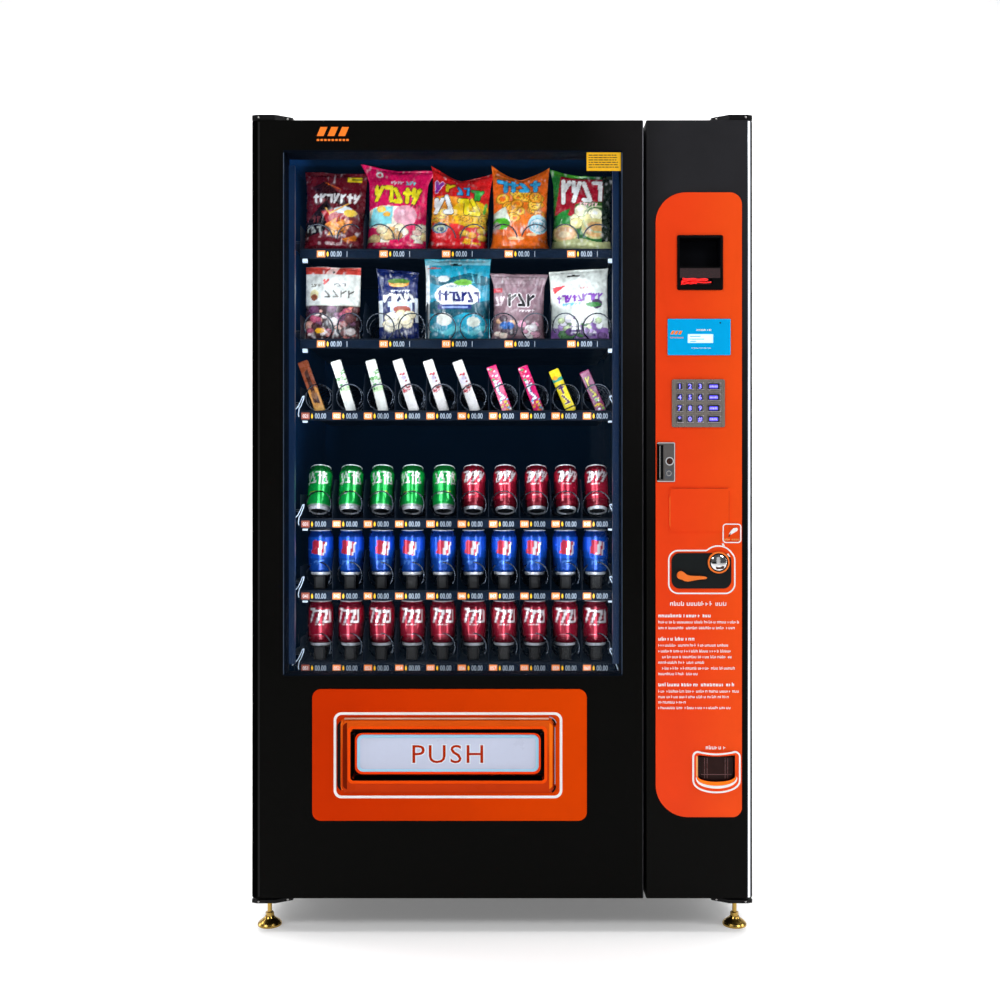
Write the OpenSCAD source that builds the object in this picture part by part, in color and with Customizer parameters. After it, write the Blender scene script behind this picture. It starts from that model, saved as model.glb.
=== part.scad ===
// Glass-front snack vending machine: two doors, six spiral trays, delivery flap and control column.
// Front faces -Y, +X is to the right seen from the front, +Z is up, the floor is z = 0. Millimetres.

/* [Overall] */
// Width over the two doors
body_w = 1170; // [1100:5:1250]
// Depth from the coin lever to the wall spacers
body_d = 790; // [740:10:900]
// Height from the floor to the hinge bolts
body_h = 1910; // [1900:1:1920]
// Cabinet sheet thickness
sheet = 2; // [1:0.5:4]

/* [Doors] */
// Thickness of both doors
door_t = 60; // [45:5:80]
// Right edge of the glass door
door_seam_l = 329; // [320:1:331]
// Left edge of the control door
door_seam_r = 336; // [334:1:345]
// Radius of the outer vertical door edges
door_edge_r = 15; // [5:1:20]
// Distance of the hinge pins from the outer edge
pivot_in = 20.5; // [18:0.5:24]
// Hinge pin radius
pin_r = 6; // [5:0.5:8]

/* [Window] */
// Left edge of the window
win_l = -510; // [-520:1:-500]
// Right edge of the window
win_r = 280; // [270:1:285]
// Bottom edge of the window
win_b = 618; // [612:1:640]
// Top edge of the window
win_t = 1843; // [1830:1:1850]
// Width of the trim round the glass
trim_w = 3; // [2.5:0.5:8]
// Thickness of each pane
pane_t = 4; // [3:0.5:6]

/* [Delivery] */
// Left edge of the delivery opening
mouth_l = -352; // [-360:1:-340]
// Right edge of the delivery opening
mouth_r = 98; // [90:1:105]
// Bottom edge of the delivery opening
mouth_b = 374; // [370:1:380]
// Top edge of the delivery opening
mouth_t = 494; // [488:1:500]
// Delivery flap thickness
flap_t = 4; // [3:0.5:6]
// Delivery flap pin radius
flap_pin_r = 4; // [3:0.5:5]

/* [Trays] */
// Distance between neighbouring lanes
lane_p = 78.2; // [78:0.1:79]
// Centre of the first lane
lane_0 = -464; // [-466:0.5:-463]
// Divider height above the tray floor
div_h = 100; // [60:5:104]
// Tray sheet thickness
tray_t = 1.5; // [1:0.5:2]
// Front of the trays
tray_front = -195; // [-200:1:-190]
// Back of the trays
tray_back = 300; // [290:1:305]

/* [Spirals] */
// Radius of the spiral at the wire's centre
coil_r = 34; // [30:0.5:34.5]
// Wire radius
wire_r = 1.8; // [1.5:0.1:2]
// Height of the spiral's axis above the tray floor
coil_up = 37; // [36.5:0.5:40]
// Radius of the spiral's drive shaft
shaft_r = 6; // [4:0.5:8]

/* [Controls] */
// Key pitch down the keypad
key_pz = 25.33; // [25:0.01:26]
// Key height
key_h = 19; // [17:0.5:20]
// Gap round each key
key_gap = 0.5; // [0.3:0.1:0.8]
// Radial clearance of every turning fit
fit = 0.05; // [0.02:0.01:0.1]

/* [Hidden] */
$fn = 48;
half_w = body_w / 2;
back_y = body_d / 2;
front_y = -380;
door_b_y = front_y + door_t;
seal_t = 10;
cab_f = door_b_y + seal_t;
cab_b = 385;
cab_x = half_w - 1.5;
cab_z0 = 95;
// heights below are counted from a level this far under the floor
lower = 20;
cab_z1 = body_h + lower - 15;
door_z0 = 100;
door_z1 = cab_z1 - 2;
piv_x = half_w - pivot_in;
piv_y = front_y + door_t / 2;
lin_l = -530; lin_r = 306; lin_x1 = 335;
lin_z0 = 330; lin_z1 = 1886; lin_b = 345;
skin = 3;
floors = [1655, 1430, 1250, 980, 800, 620];
tray_l = -506; tray_r = 282;
key_x = [413.1, 436.9, 460.4, 492.3];
key_w = [18, 18, 18, 33];
key_z0 = 1292;
kp = [394.5, 1197.4, 517.7, 1308.3];
lock_c = [389, 1118];
lever_c = [415.2, 853.3];
inlet_c = [502.8, 882.8];
fan_c = [-320, 195];

// ---- helpers ----
module sit() translate([0, 0, -lower]) children();
// block between two corners
module blk(a, b) translate(a) cube([b[0] - a[0], b[1] - a[1], b[2] - a[2]]);

// plate with an outline drawn in X and Z, from y0 back to y1
module slab(y0, y1) translate([0, y1, 0]) rotate([90, 0, 0]) linear_extrude(y1 - y0) children();

// shaft along Y
module rod_y(x, z, r, y0, y1) translate([x, y1, z]) rotate([90, 0, 0]) cylinder(r = r, h = y1 - y0);

// shaft along X
module rod_x(y, z, r, x0, x1) translate([x0, y, z]) rotate([0, 90, 0]) cylinder(r = r, h = x1 - x0);

// corner bit that a round of radius r takes off; sx, sz point into the outline
module nick(x, z, r, sx, sz) if (r > 0) difference() {
    translate([min(x, x + sx * r) - (sx > 0 ? 1 : 0), min(z, z + sz * r) - (sz > 0 ? 1 : 0)])
        square([r + 1, r + 1]);
    translate([x + sx * r, z + sz * r]) circle(r = r);
}

// outline of a rectangle x0..x1, z0..z1 with radii bl, br, tr, tl
module rr(x0, z0, x1, z1, bl, br, tr, tl) difference() {
    translate([x0, z0]) square([x1 - x0, z1 - z0]);
    nick(x0, z0, bl, 1, 1);
    nick(x1, z0, br, -1, 1);
    nick(x1, z1, tr, -1, -1);
    nick(x0, z1, tl, 1, -1);
}
module rq(x0, z0, x1, z1, r) rr(x0, z0, x1, z1, r, r, r, r);

// ---- cabinet ----
module cabinet_shell() color([0.07, 0.07, 0.08]) difference() {
    union() {
        difference() {
            blk([-cab_x, cab_f, cab_z0], [cab_x, cab_b, cab_z1]);
            blk([-cab_x + sheet, cab_f - 1, cab_z0 + skin],
                [cab_x - sheet, cab_b + 1, cab_z1 - sheet]);
        }
        // cross bar that carries the front of the liner and closes the machine bay
        blk([-cab_x + sheet, cab_f, 270], [cab_x - sheet, cab_f + 30, 294]);
    }
    for (x = [-480, 480], y = [-250, 250])
        translate([x, y, cab_z0 - 1]) cylinder(r = 6.5, h = skin + 2);
}

module rear_panel() color([0.16, 0.16, 0.17]) union() {
    difference() {
        blk([-cab_x + sheet, cab_b, cab_z0 + skin], [cab_x - sheet, cab_b + sheet, cab_z1 - sheet]);
        for (c = [0 : 5], r = [0 : 7])
            blk([-530 + c * 78, cab_b - 1, 118 + r * 20], [-470 + c * 78, cab_b + sheet + 1, 126 + r * 20]);
        for (c = [0 : 1], r = [0 : 7])
            blk([400 + c * 78, cab_b - 1, 1600 + r * 20], [460 + c * 78, cab_b + sheet + 1, 1608 + r * 20]);
    }
    // louvre hoods above each slot
    for (c = [0 : 5], r = [0 : 7])
        blk([-530 + c * 78, cab_b + sheet, 126 + r * 20], [-470 + c * 78, cab_b + 5, 128 + r * 20]);
    for (c = [0 : 1], r = [0 : 7])
        blk([400 + c * 78, cab_b + sheet, 1608 + r * 20], [460 + c * 78, cab_b + 5, 1610 + r * 20]);
    // wall spacers
    for (x = [-500, 500], z = [400, 1750]) rod_y(x, z, 14, cab_b + sheet, back_y);
    // power inlet
    difference() {
        blk([410, cab_b + sheet, 180], [480, cab_b + 7, 230]);
        blk([425, cab_b + 3, 192], [465, cab_b + 8, 218]);
    }
}

module food_liner() color([0.05, 0.09, 0.17]) difference() {
    blk([-cab_x + sheet + 0.5, cab_f, 296], [lin_x1, cab_b - 1, cab_z1 - sheet - 1]);
    blk([lin_l, cab_f - 1, lin_z0], [lin_r, lin_b, lin_z1]);
}

// one hinge plate: s = -1 left, 1 right; the inboard end slants back
module hinge_plate(s, z0, z1) {
    translate([0, 0, z0]) linear_extrude(z1 - z0) polygon([[s * (half_w - 0.5), -372],
        [s * (half_w - 12), -377], [s * 530, -377], [s * 492, -356], [s * 492, -240],
        [s * (half_w - 0.5), -240]]);
}
module hinge_brackets() color([0.1, 0.1, 0.11]) for (s = [-1, 1]) {
    union() {
        hinge_plate(s, cab_z1, cab_z1 + 12);
        translate([s * piv_x, piv_y, door_z1 - 34]) cylinder(r = pin_r, h = cab_z1 - door_z1 + 40);
        translate([s * piv_x, piv_y, cab_z1 + 11.9]) cylinder(r = 9, h = 3.1);
        for (x = [510, 565]) translate([s * x, -265, cab_z1 + 11.9]) cylinder(r = 7, h = 3, $fn = 6);
    }
    union() {
        hinge_plate(s, cab_z0 - 8, cab_z0);
        translate([s * piv_x, piv_y, cab_z0 - 4]) cylinder(r = pin_r, h = 39);
        translate([s * piv_x, piv_y, cab_z0 - 1]) cylinder(r = 11, h = door_z0 - cab_z0 + 0.7);
    }
}

module levelling_feet() color([0.72, 0.59, 0.29])
    for (x = [-552, 552], y = [-330, 330]) {
        // the front feet stand under the hinge brackets, the rear ones under the base
        top = (y < 0 ? cab_z0 - 8 : cab_z0) - lower;
        translate([x, y, 0]) union() {
            rotate_extrude() polygon([[0, 0], [28, 0], [28, 4], [25, 8], [20, 12], [13, 17],
                [10.5, 21], [0, 21]]);
            translate([0, 0, 20.5]) cylinder(r = 5.2, h = top - 20.5);
            translate([0, 0, 20.5]) cylinder(r = 10, h = 9.5, $fn = 6);
        }
    }

// channel rail: s = -1 on the left wall, 1 on the right wall
module rail(s, f) {
    w = s < 0 ? lin_l : lin_r;
    e = s < 0 ? tray_l : tray_r;
    a = min(w, w - s * 2); b = max(w, w - s * 2);
    c = min(w, e + s * 3); d = max(w, e + s * 3);
    blk([a, -180, f + 17.7], [b, 320, f + 24.3]);
    blk([c, -180, f + 17.7], [d, 320, f + 19.7]);
    blk([c, -180, f + 22.3], [d, 320, f + 24.3]);
}
module tray_rails() color([0.35, 0.38, 0.42]) for (f = floors, s = [-1, 1]) union() rail(s, f);

module refrigeration_unit() color([0.3, 0.31, 0.33]) {
    union() {
        blk([-560, -250, cab_z0 + skin], [320, 375, cab_z0 + skin + 3]);
        blk([-560, -250, cab_z0 + skin], [-557, 375, 130]);
        blk([317, -250, cab_z0 + skin], [320, 375, 130]);
        // condenser block between its end plates
        difference() {
            blk([-520, 300, 100], [-120, 362, 285]);
            for (x = [-512 : 12 : -130]) blk([x, 299, 112], [x + 8, 363, 278]);
        }
        for (z = [130 : 30 : 265]) rod_x(331, z, 5, -530, -110);
        // fan shroud
        difference() {
            blk([-430, 262, 100], [-210, 265, 285]);
            rod_y(fan_c[0], fan_c[1], 76, 261, 266);
        }
        blk([-430, 265, 100], [-427, 300, 285]);
        blk([-213, 265, 100], [-210, 300, 285]);
        // fan motor on its pedestal
        blk([-335, 120, 100], [-305, 180, 170]);
        difference() {
            rod_y(fan_c[0], fan_c[1], 34, 110, 200);
            rod_y(fan_c[0], fan_c[1], 5 + fit, 170, 201);
        }
    }
    // compressor
    union() {
        translate([150, 140, 0]) rotate_extrude() polygon([[0, 101], [92, 101], [92, 108], [84, 112],
            [84, 190], [86, 192], [86, 200], [84, 202], [80, 230], [66, 252], [40, 264], [0, 268]]);
        blk([60, 225, 101], [240, 232, 109]);
        translate([225, 200, 108]) cylinder(r = 6, h = 110);
        blk([226, 110, 140], [262, 170, 215]);
    }
    // receiver bottle
    translate([-60, 100, 101]) cylinder(r = 38, h = 140);
}

module condenser_fan() color([0.55, 0.57, 0.6]) union() {
    rod_y(fan_c[0], fan_c[1], 5, 172, 250);
    rod_y(fan_c[0], fan_c[1], 20, 235, 262);
    for (k = [0 : 4]) translate([fan_c[0], 250, fan_c[1]]) rotate([0, 72 * k, 0])
        translate([42, 0, 0]) rotate([32, 0, 0]) translate([-26, -1, -19]) cube([54, 2, 38]);
}

module evaporator_unit() color([0.62, 0.66, 0.7]) union() {
    difference() {
        blk([-470, 70, lin_z0], [250, 340, 540]);
        blk([-467, 73, lin_z0 + 3], [247, 337, 537]);
        for (x = [-450 : 24 : 220]) blk([x, 69, 350], [x + 14, 74, 420]);
        for (x = [-410, -110, 190]) translate([x, 200, 530]) cylinder(r = 48, h = 20);
    }
    // coil block and fan rings inside
    for (x = [-460 : 10 : 240]) blk([x, 110, lin_z0 + 2], [x + 1.5, 190, 480]);
    blk([-466, 108, lin_z0 + 3], [246, 110, 482]);
}

// ---- glass door ----
module door_outline(x0, x1, rl, rr_) difference() {
    translate([x0, front_y]) square([x1 - x0, door_t]);
    nick(x0, front_y, rl, 1, 1);
    nick(x1, front_y, rr_, -1, 1);
}
module pin_bores(x) {
    translate([x, piv_y, door_z1 - 35]) cylinder(r = pin_r + fit, h = 40);
    translate([x, piv_y, door_z0 - 1]) cylinder(r = pin_r + fit, h = 36);
}
module glass_door_frame() color([0.03, 0.03, 0.035]) difference() {
    translate([0, 0, door_z0]) linear_extrude(door_z1 - door_z0)
        door_outline(-half_w, door_seam_l, door_edge_r, 4);
    blk([win_l, front_y - 1, win_b], [win_r, door_b_y + 1, win_t]);
    blk([mouth_l - skin, front_y - 1, mouth_b - skin], [mouth_r + skin, door_b_y + 1, mouth_t + skin]);
    pin_bores(-piv_x);
}
module window_glass() color([0.5, 0.7, 0.85, 0.35]) for (y = [front_y + 4, door_b_y - 16])
    blk([win_l + trim_w, y, win_b + trim_w], [win_r - trim_w, y + pane_t, win_t - trim_w]);
module window_trim() color([0.62, 0.68, 0.75]) union() {
    difference() {
        blk([win_l, front_y + 1, win_b], [win_r, door_b_y, win_t]);
        blk([win_l + trim_w, front_y, win_b + trim_w], [win_r - trim_w, door_b_y + 1, win_t - trim_w]);
    }
}
module lamp_strips() color([0.8, 0.9, 1]) for (x = [win_l + trim_w, win_r - trim_w - 14])
    difference() {
        union() {
            blk([x, door_b_y - 10, win_b + 20], [x + 14, door_b_y + 4, win_t - 20]);
            translate([x + 7, door_b_y + 4, win_b + 30]) cylinder(r = 6, h = win_t - win_b - 60);
        }
        blk([x - 1, door_b_y + 4 + 7, win_b], [x + 15, door_b_y + 40, win_t]);
    }
module door_gasket() color([0.12, 0.12, 0.13]) slab(door_b_y, cab_f) difference() {
    rq(-560, 302, 324, 1906, 10);
    rq(-546, 314, 312, 1893, 6);
}
module lower_panel() color([0.8, 0.22, 0.02]) slab(front_y - 3, front_y) difference() {
    rq(-442, 281.5, 197, 587.6, 20);
    rq(-378, 347, 123.5, 521.5, 16);
}
module delivery_bezel() color([0.78, 0.2, 0.02]) difference() {
    union() {
        slab(front_y - 7, front_y) rq(-378, 347, 123.5, 521.5, 16);
        slab(front_y - 12, front_y - 7) rq(-373, 352, 118.5, 516.5, 14);
        blk([mouth_l - skin, front_y - 1, mouth_b - skin], [mouth_r + skin, door_b_y, mouth_t + skin]);
    }
    slab(front_y - 13, door_b_y + 1) rq(mouth_l, mouth_b, mouth_r, mouth_t, 8);
    rod_x(front_y + 12, 483, flap_pin_r + fit, mouth_l - skin - 1, mouth_r + skin + 1);
}
module delivery_flap() color([0.75, 0.77, 0.85]) union() {
    slab(front_y + 12 - flap_t / 2, front_y + 12 + flap_t / 2)
        rr(mouth_l + 8, 386, mouth_r - 8, 487, 12, 12, 1.5, 1.5);
    rod_x(front_y + 12, 483, flap_pin_r, mouth_l - skin + 0.2, mouth_r + skin - 0.2);
    slab(front_y + 12 - flap_t / 2 - 2, front_y + 12) rq(-338, 392.6, 85, 477, 14);
}
module delivery_bin() color([0.08, 0.09, 0.1]) difference() {
    blk([mouth_l - 8, door_b_y, 337], [mouth_r + 8, -120, 560]);
    blk([mouth_l - 5, door_b_y + 2, 340], [mouth_r + 5, -123, 561]);
    blk([mouth_l, door_b_y - 1, mouth_b], [mouth_r, door_b_y + 3, mouth_t]);
}

// ---- control door ----
cup = [453, 352, 547, 440];
module control_door_panel() color([0.05, 0.05, 0.055]) difference() {
    translate([0, 0, door_z0]) linear_extrude(door_z1 - door_z0)
        door_outline(door_seam_r, half_w, 4, door_edge_r);
    blk([410, front_y - 1, 1520], [510, door_b_y + 1, 1641]);
    blk([390, front_y - 1, 1370], [526, front_y + 20, 1444]);
    blk([398, front_y - 1, 1201], [514, front_y + 16, 1305]);
    blk([361, front_y - 1, 1072], [401, door_b_y + 1, 1160]);
    blk([472, front_y - 1, 862], [528, door_b_y + 1, 902]);
    blk([404, front_y - 1, 842], [426, front_y + 12, 864]);
    blk([cup[0], front_y - 1, cup[1]], [cup[2], door_b_y + 1, cup[3]]);
    pin_bores(piv_x);
}
module control_fascia() color([0.94, 0.29, 0.11]) slab(front_y - 3, front_y) difference() {
    rr(357.4, 290, 558, 1744, 75, 22, 28, 70);
    rq(407, 1516.6, 513.5, 1643.8, 4);
    rq(385, 1365, 531, 1449, 2);
    rq(kp[0], kp[1], kp[2], kp[3], 4);
    rq(360, 1070, 402, 1162, 3);
    union() {
        rq(394, 822, 533, 904.5, 19);
        translate(inlet_c) circle(r = 25);
    }
    rr(444, 346, 556, 443, 34, 20, 12, 12);
}
module bill_validator() color([0.05, 0.04, 0.04]) difference() {
    union() {
        slab(front_y - 6, front_y) rq(407, 1516.6, 513.5, 1643.8, 4);
        blk([410, front_y - 1, 1520], [510, door_b_y, 1641]);
        blk([412, door_b_y, 1450], [508, -206, 1639]);
    }
    // recess and the mouth under it
    blk([412, front_y - 7, 1570], [508, front_y + 32, 1638]);
    blk([415, front_y - 7, 1529], [489, front_y + 42, 1541]);
}
module display_module() color([0, 0.5, 0.78]) difference() {
    union() {
        slab(front_y - 6, front_y) rq(385, 1365, 531, 1449, 2);
        blk([390, front_y - 1, 1370], [526, front_y + 20, 1444]);
    }
    blk([431.5, front_y - 7, 1393], [491, front_y - 3, 1414]);
    rod_y(507, 1440, 2, front_y - 7, front_y - 4);
}
function kx0(i) = key_x[i % 4] - key_w[i % 4] / 2;
function kz(i) = key_z0 - key_pz * floor(i / 4);
module keypad_plate() color([0.55, 0.57, 0.6]) difference() {
    union() {
        slab(front_y - 7, front_y) rq(kp[0], kp[1], kp[2], kp[3], 4);
        blk([398, front_y - 1, 1201], [514, front_y + 16, 1305]);
    }
    for (i = [0 : 15]) slab(front_y - 8, front_y + 6)
        rq(kx0(i) - key_gap, kz(i) - key_h / 2 - key_gap, kx0(i) + key_w[i % 4] + key_gap,
            kz(i) + key_h / 2 + key_gap, 3);
}
module key(i) color([0.4, 0.5, 0.62]) union() {
    slab(front_y - 8, front_y + 2.5)
        rq(kx0(i), kz(i) - key_h / 2, kx0(i) + key_w[i % 4], kz(i) + key_h / 2, 2.5);
    slab(front_y - 9.5, front_y - 8)
        rq(kx0(i) + 1.2, kz(i) - key_h / 2 + 1.2, kx0(i) + key_w[i % 4] - 1.2, kz(i) + key_h / 2 - 1.2, 2);
}
module lock_plate() color([0.6, 0.61, 0.63]) difference() {
    union() {
        slab(front_y - 5, front_y) rq(360, 1070, 402, 1162, 3);
        blk([361, front_y - 1, 1072], [401, door_b_y, 1160]);
    }
    blk([362, front_y - 6, 1076], [375, front_y + 18, 1156]);
    rod_y(lock_c[0], lock_c[1], 10 + fit, front_y - 6, door_b_y + 1);
}
module lock_cylinder() color([0.75, 0.75, 0.77]) difference() {
    union() {
        rod_y(lock_c[0], lock_c[1], 10, front_y - 8, door_b_y + 2);
        blk([345, door_b_y + 2, lock_c[1] - 8], [398, door_b_y + 6, lock_c[1] + 8]);
    }
    blk([lock_c[0] - 1.1, front_y - 9, lock_c[1] - 5], [lock_c[0] + 1.1, front_y + 12, lock_c[1] + 5]);
}
module blank_cover() color([0.94, 0.29, 0.11]) union() {
    slab(front_y - 5, front_y - 3) rq(388, 953, 530, 1057, 8);
    slab(front_y - 6, front_y - 5) rq(391, 956, 527, 1054, 6);
}
module coin_plate() color([0.04, 0.04, 0.045]) difference() {
    union() {
        slab(front_y - 5, front_y) union() {
            rq(394, 822, 533, 904.5, 19);
            translate(inlet_c) circle(r = 25);
        }
        rod_y(inlet_c[0], inlet_c[1], 24, front_y - 10, front_y - 5);
        blk([480, front_y - 1, 864], [526, door_b_y, 900]);
        rod_y(lever_c[0], lever_c[1], 8, front_y - 1, front_y + 10);
    }
    rod_y(inlet_c[0], inlet_c[1], 20, front_y - 11, front_y - 8);
    // coin slot down through the chute
    blk([inlet_c[0] - 1.8, front_y - 11, inlet_c[1] - 15], [inlet_c[0] + 1.8, door_b_y + 1, inlet_c[1] + 15]);
    rod_y(lever_c[0], lever_c[1], 3 + fit, front_y - 6, front_y + 8);
}
module coin_lever() color([0.95, 0.34, 0.12]) union() {
    rod_y(lever_c[0], lever_c[1], 3, front_y - 7, front_y + 7);
    rod_y(lever_c[0], lever_c[1], 9.5, front_y - 14, front_y - 5.5);
    slab(front_y - 13, front_y - 6) polygon([[412, 861.5], [420, 861], [429, 854.5], [437, 852.3],
        [468, 851], [473.5, 849.5], [475, 847.2], [473, 845], [452, 843], [440, 840.5],
        [431, 838.6], [423, 840], [412, 846]]);
    rod_y(lever_c[0], lever_c[1], 5.5, front_y - 15, front_y - 13.5);
}
module coin_mech() color([0.12, 0.12, 0.13]) difference() {
    union() {
        blk([404, door_b_y, 560], [528, -214, 900]);
        blk([400, door_b_y, 640], [530, -226, 700]);
        for (x = [424, 450, 476, 502]) translate([x, -216, 575]) cylinder(r = 10, h = 180);
    }
    blk([inlet_c[0] - 3, door_b_y - 1, 860], [inlet_c[0] + 3, -240, 901]);
}
module coin_cup() color([0.06, 0.05, 0.05]) difference() {
    union() {
        slab(front_y - 5, front_y) rr(444, 346, 556, 443, 34, 20, 12, 12);
        blk([cup[0], front_y, cup[1]], [cup[2], door_b_y, cup[3]]);
    }
    slab(front_y - 6, door_b_y - 5) rr(cup[0] + 5, cup[1] + 8, cup[2] - 5, cup[3] - 5, 18, 18, 3, 3);
    // coin shaft from above at the back
    blk([480, door_b_y - 25, 420], [520, door_b_y - 8, 441]);
    rod_x(front_y + 7, 428, 2.5 + fit, cup[0] - 1, cup[2] + 1);
}
module coin_cup_flap() color([0.15, 0.05, 0.04]) union() {
    slab(front_y + 5.5, front_y + 8.5) rr(cup[0] + 7, 371, cup[2] - 7, 430, 20, 20, 1, 1);
    rod_x(front_y + 7, 428, 2.5, cup[0] + 0.3, cup[2] - 0.3);
}

// ---- trays and spirals ----
module tray(f, n, step) {
    blk([tray_l, tray_front + 3, f - tray_t], [tray_r, tray_back, f]);
    // front rail with a ledge for the price strip
    blk([tray_l, tray_front, f - 23], [tray_r, tray_front + 3, f + 2]);
    blk([tray_l, tray_front - 3, f - 23], [tray_r, tray_front, f - 21.5]);
    blk([tray_l, tray_front - 3, f - 2.5], [tray_r, tray_front, f - 1]);
    // side walls with their runners
    for (s = [-1, 1]) {
        x = s < 0 ? tray_l : tray_r - tray_t;
        blk([x, tray_front + 3, f - tray_t], [x + tray_t, tray_back, f + 62]);
        a = s < 0 ? lin_l + 2.5 : tray_r - 0.5;
        b = s < 0 ? tray_l + 0.5 : lin_r - 2.5;
        blk([a, -178, f + 20], [b, 298, f + 22]);
    }
    // dividers with a sloped front corner
    for (k = [step - 1 : step : 8]) {
        x = lane_0 + lane_p * (k + 0.5);
        translate([x + tray_t / 2, 0, 0]) rotate([0, -90, 0]) linear_extrude(tray_t)
            polygon([[f - 0.5, tray_front + 4], [f + div_h - 40, tray_front + 4],
                [f + div_h, tray_front + 40], [f + div_h, tray_back - 1], [f - 0.5, tray_back - 1]]);
    }
    // back wall and motor bar, bored for the modelled spirals
    difference() {
        union() {
            blk([tray_l, tray_back - 2, f - tray_t], [tray_r, tray_back, f + 76]);
            blk([tray_l + 4, tray_back, f + 6], [tray_r - 4, tray_back + 38, f + 72]);
        }
        for (k = [0 : n - 1]) rod_y(lane_0 + lane_p * k, f + coil_up, shaft_r + fit, tray_back - 3,
            tray_back + 12);
    }
}
// spiral as a chain of tilted half rings: t half turns of pitch p along +Y
module coil(x, f, t, p, hand) {
    y0 = tray_front + 10;
    a = asin(p / 4 / coil_r);
    y1 = y0 + t * p / 2;
    s = t % 2 == 0 ? 1 : -1;
    e = coil_r * cos(a);
    translate([x, 0, f + coil_up]) mirror([hand < 0 ? 1 : 0, 0, 0]) union() {
        for (k = [0 : t - 1]) translate([0, y0 + (k + 0.5) * p / 2, 0]) rotate([-90, 0, 0])
            rotate([0, k % 2 == 0 ? a : -a, 0]) rotate([0, 0, k % 2 == 0 ? 1 : 181])
                rotate_extrude(angle = 178) translate([coil_r, 0]) circle(r = wire_r, $fn = 24);
        // rounded joints between the half turns
        for (k = [1 : t]) translate([k % 2 == 0 ? e : -e, y0 + k * p / 2, 0])
            sphere(r = wire_r + 0.6, $fn = 24);
        // arm to the drive hub
        rod_x(y1, 0, wire_r, min(0, s * e), max(0, s * e));
        rod_y(0, 0, 9, y1 - 5, tray_back - 2.5);
        rod_y(0, 0, shaft_r, tray_back - 3, tray_back + 11);
    }
}
module spiral_wide(k, f, hand) color([0.75, 0.77, 0.8]) coil(lane_0 + lane_p * k, f, 16, 58, hand);
module spiral_thin(f) color([0.75, 0.77, 0.8]) coil(lane_0, f, 22, 42, 1);
module spiral_can(f) color([0.75, 0.77, 0.8]) coil(lane_0, f, 13, 71.4, 1);

sit() cabinet_shell();
sit() rear_panel();
sit() food_liner();
sit() hinge_brackets();
levelling_feet();
sit() tray_rails();
sit() refrigeration_unit();
sit() condenser_fan();
sit() evaporator_unit();
sit() glass_door_frame();
sit() window_glass();
sit() window_trim();
sit() lamp_strips();
sit() door_gasket();
sit() lower_panel();
sit() delivery_bezel();
sit() delivery_bin();
sit() delivery_flap();
sit() control_door_panel();
sit() control_fascia();
sit() bill_validator();
sit() display_module();
sit() keypad_plate();
sit() lock_plate();
sit() lock_cylinder();
sit() blank_cover();
sit() coin_plate();
sit() coin_lever();
sit() coin_mech();
sit() coin_cup();
sit() coin_cup_flap();
sit() key(0);  // key_1
sit() key(1);  // key_2
sit() key(2);  // key_3
sit() key(3);  // key_4
sit() key(4);  // key_5
sit() key(5);  // key_6
sit() key(6);  // key_7
sit() key(7);  // key_8
sit() key(8);  // key_9
sit() key(9);  // key_10
sit() key(10);  // key_11
sit() key(11);  // key_12
sit() key(12);  // key_13
sit() key(13);  // key_14
sit() key(14);  // key_15
sit() key(15);  // key_16
sit() color([0.2, 0.22, 0.26]) tray(floors[0], 2, 2);  // tray_1
sit() color([0.2, 0.22, 0.26]) tray(floors[1], 1, 2);  // tray_2
sit() color([0.2, 0.22, 0.26]) tray(floors[2], 1, 1);  // tray_3
sit() color([0.2, 0.22, 0.26]) tray(floors[3], 1, 1);  // tray_4
sit() color([0.2, 0.22, 0.26]) tray(floors[4], 1, 1);  // tray_5
sit() color([0.2, 0.22, 0.26]) tray(floors[5], 1, 1);  // tray_6
sit() spiral_wide(0, floors[0], 1);  // spiral_1_left
sit() spiral_wide(1, floors[0], -1);  // spiral_1_right
sit() spiral_wide(0, floors[1], 1);  // spiral_2
sit() spiral_thin(floors[2]);  // spiral_3
sit() spiral_can(floors[3]);  // spiral_4
sit() spiral_can(floors[4]);  // spiral_5
sit() spiral_can(floors[5]);  // spiral_6
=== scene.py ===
import random
from math import atan2, cos, exp, hypot, pi, radians, sin, sqrt
import bpy
import bmesh
from mathutils import Vector, Matrix, noise


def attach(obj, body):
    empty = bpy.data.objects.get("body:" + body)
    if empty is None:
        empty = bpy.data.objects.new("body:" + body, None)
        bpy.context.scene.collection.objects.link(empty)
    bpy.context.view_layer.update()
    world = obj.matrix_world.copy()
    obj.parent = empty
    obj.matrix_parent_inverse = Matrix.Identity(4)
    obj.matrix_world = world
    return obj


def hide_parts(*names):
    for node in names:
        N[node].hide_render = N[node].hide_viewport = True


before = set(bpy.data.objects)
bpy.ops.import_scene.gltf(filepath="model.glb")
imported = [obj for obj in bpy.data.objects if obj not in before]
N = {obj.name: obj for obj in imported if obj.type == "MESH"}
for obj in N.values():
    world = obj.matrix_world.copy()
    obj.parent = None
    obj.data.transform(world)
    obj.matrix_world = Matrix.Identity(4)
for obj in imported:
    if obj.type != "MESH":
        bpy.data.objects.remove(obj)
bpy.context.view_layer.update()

MM = 0.001
DROP = 20.0  # heights below are written from a datum this far under the floor
FRONT = -380.0  # y of the two doors' front faces
PRINTED = FRONT - 3.0  # y of the orange sheets' front faces
FLOORS = [1655, 1430, 1250, 980, 800, 620]  # height of each tray's floor, from the top
LANE0, LANEP = -464.0, 78.2  # x of the first lane and the pitch from lane to lane
STRIP_Y = -198.0  # y of the price strips
INLET_X, INLET_Z = 502.8, 882.8  # centre of the coin inlet


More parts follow.
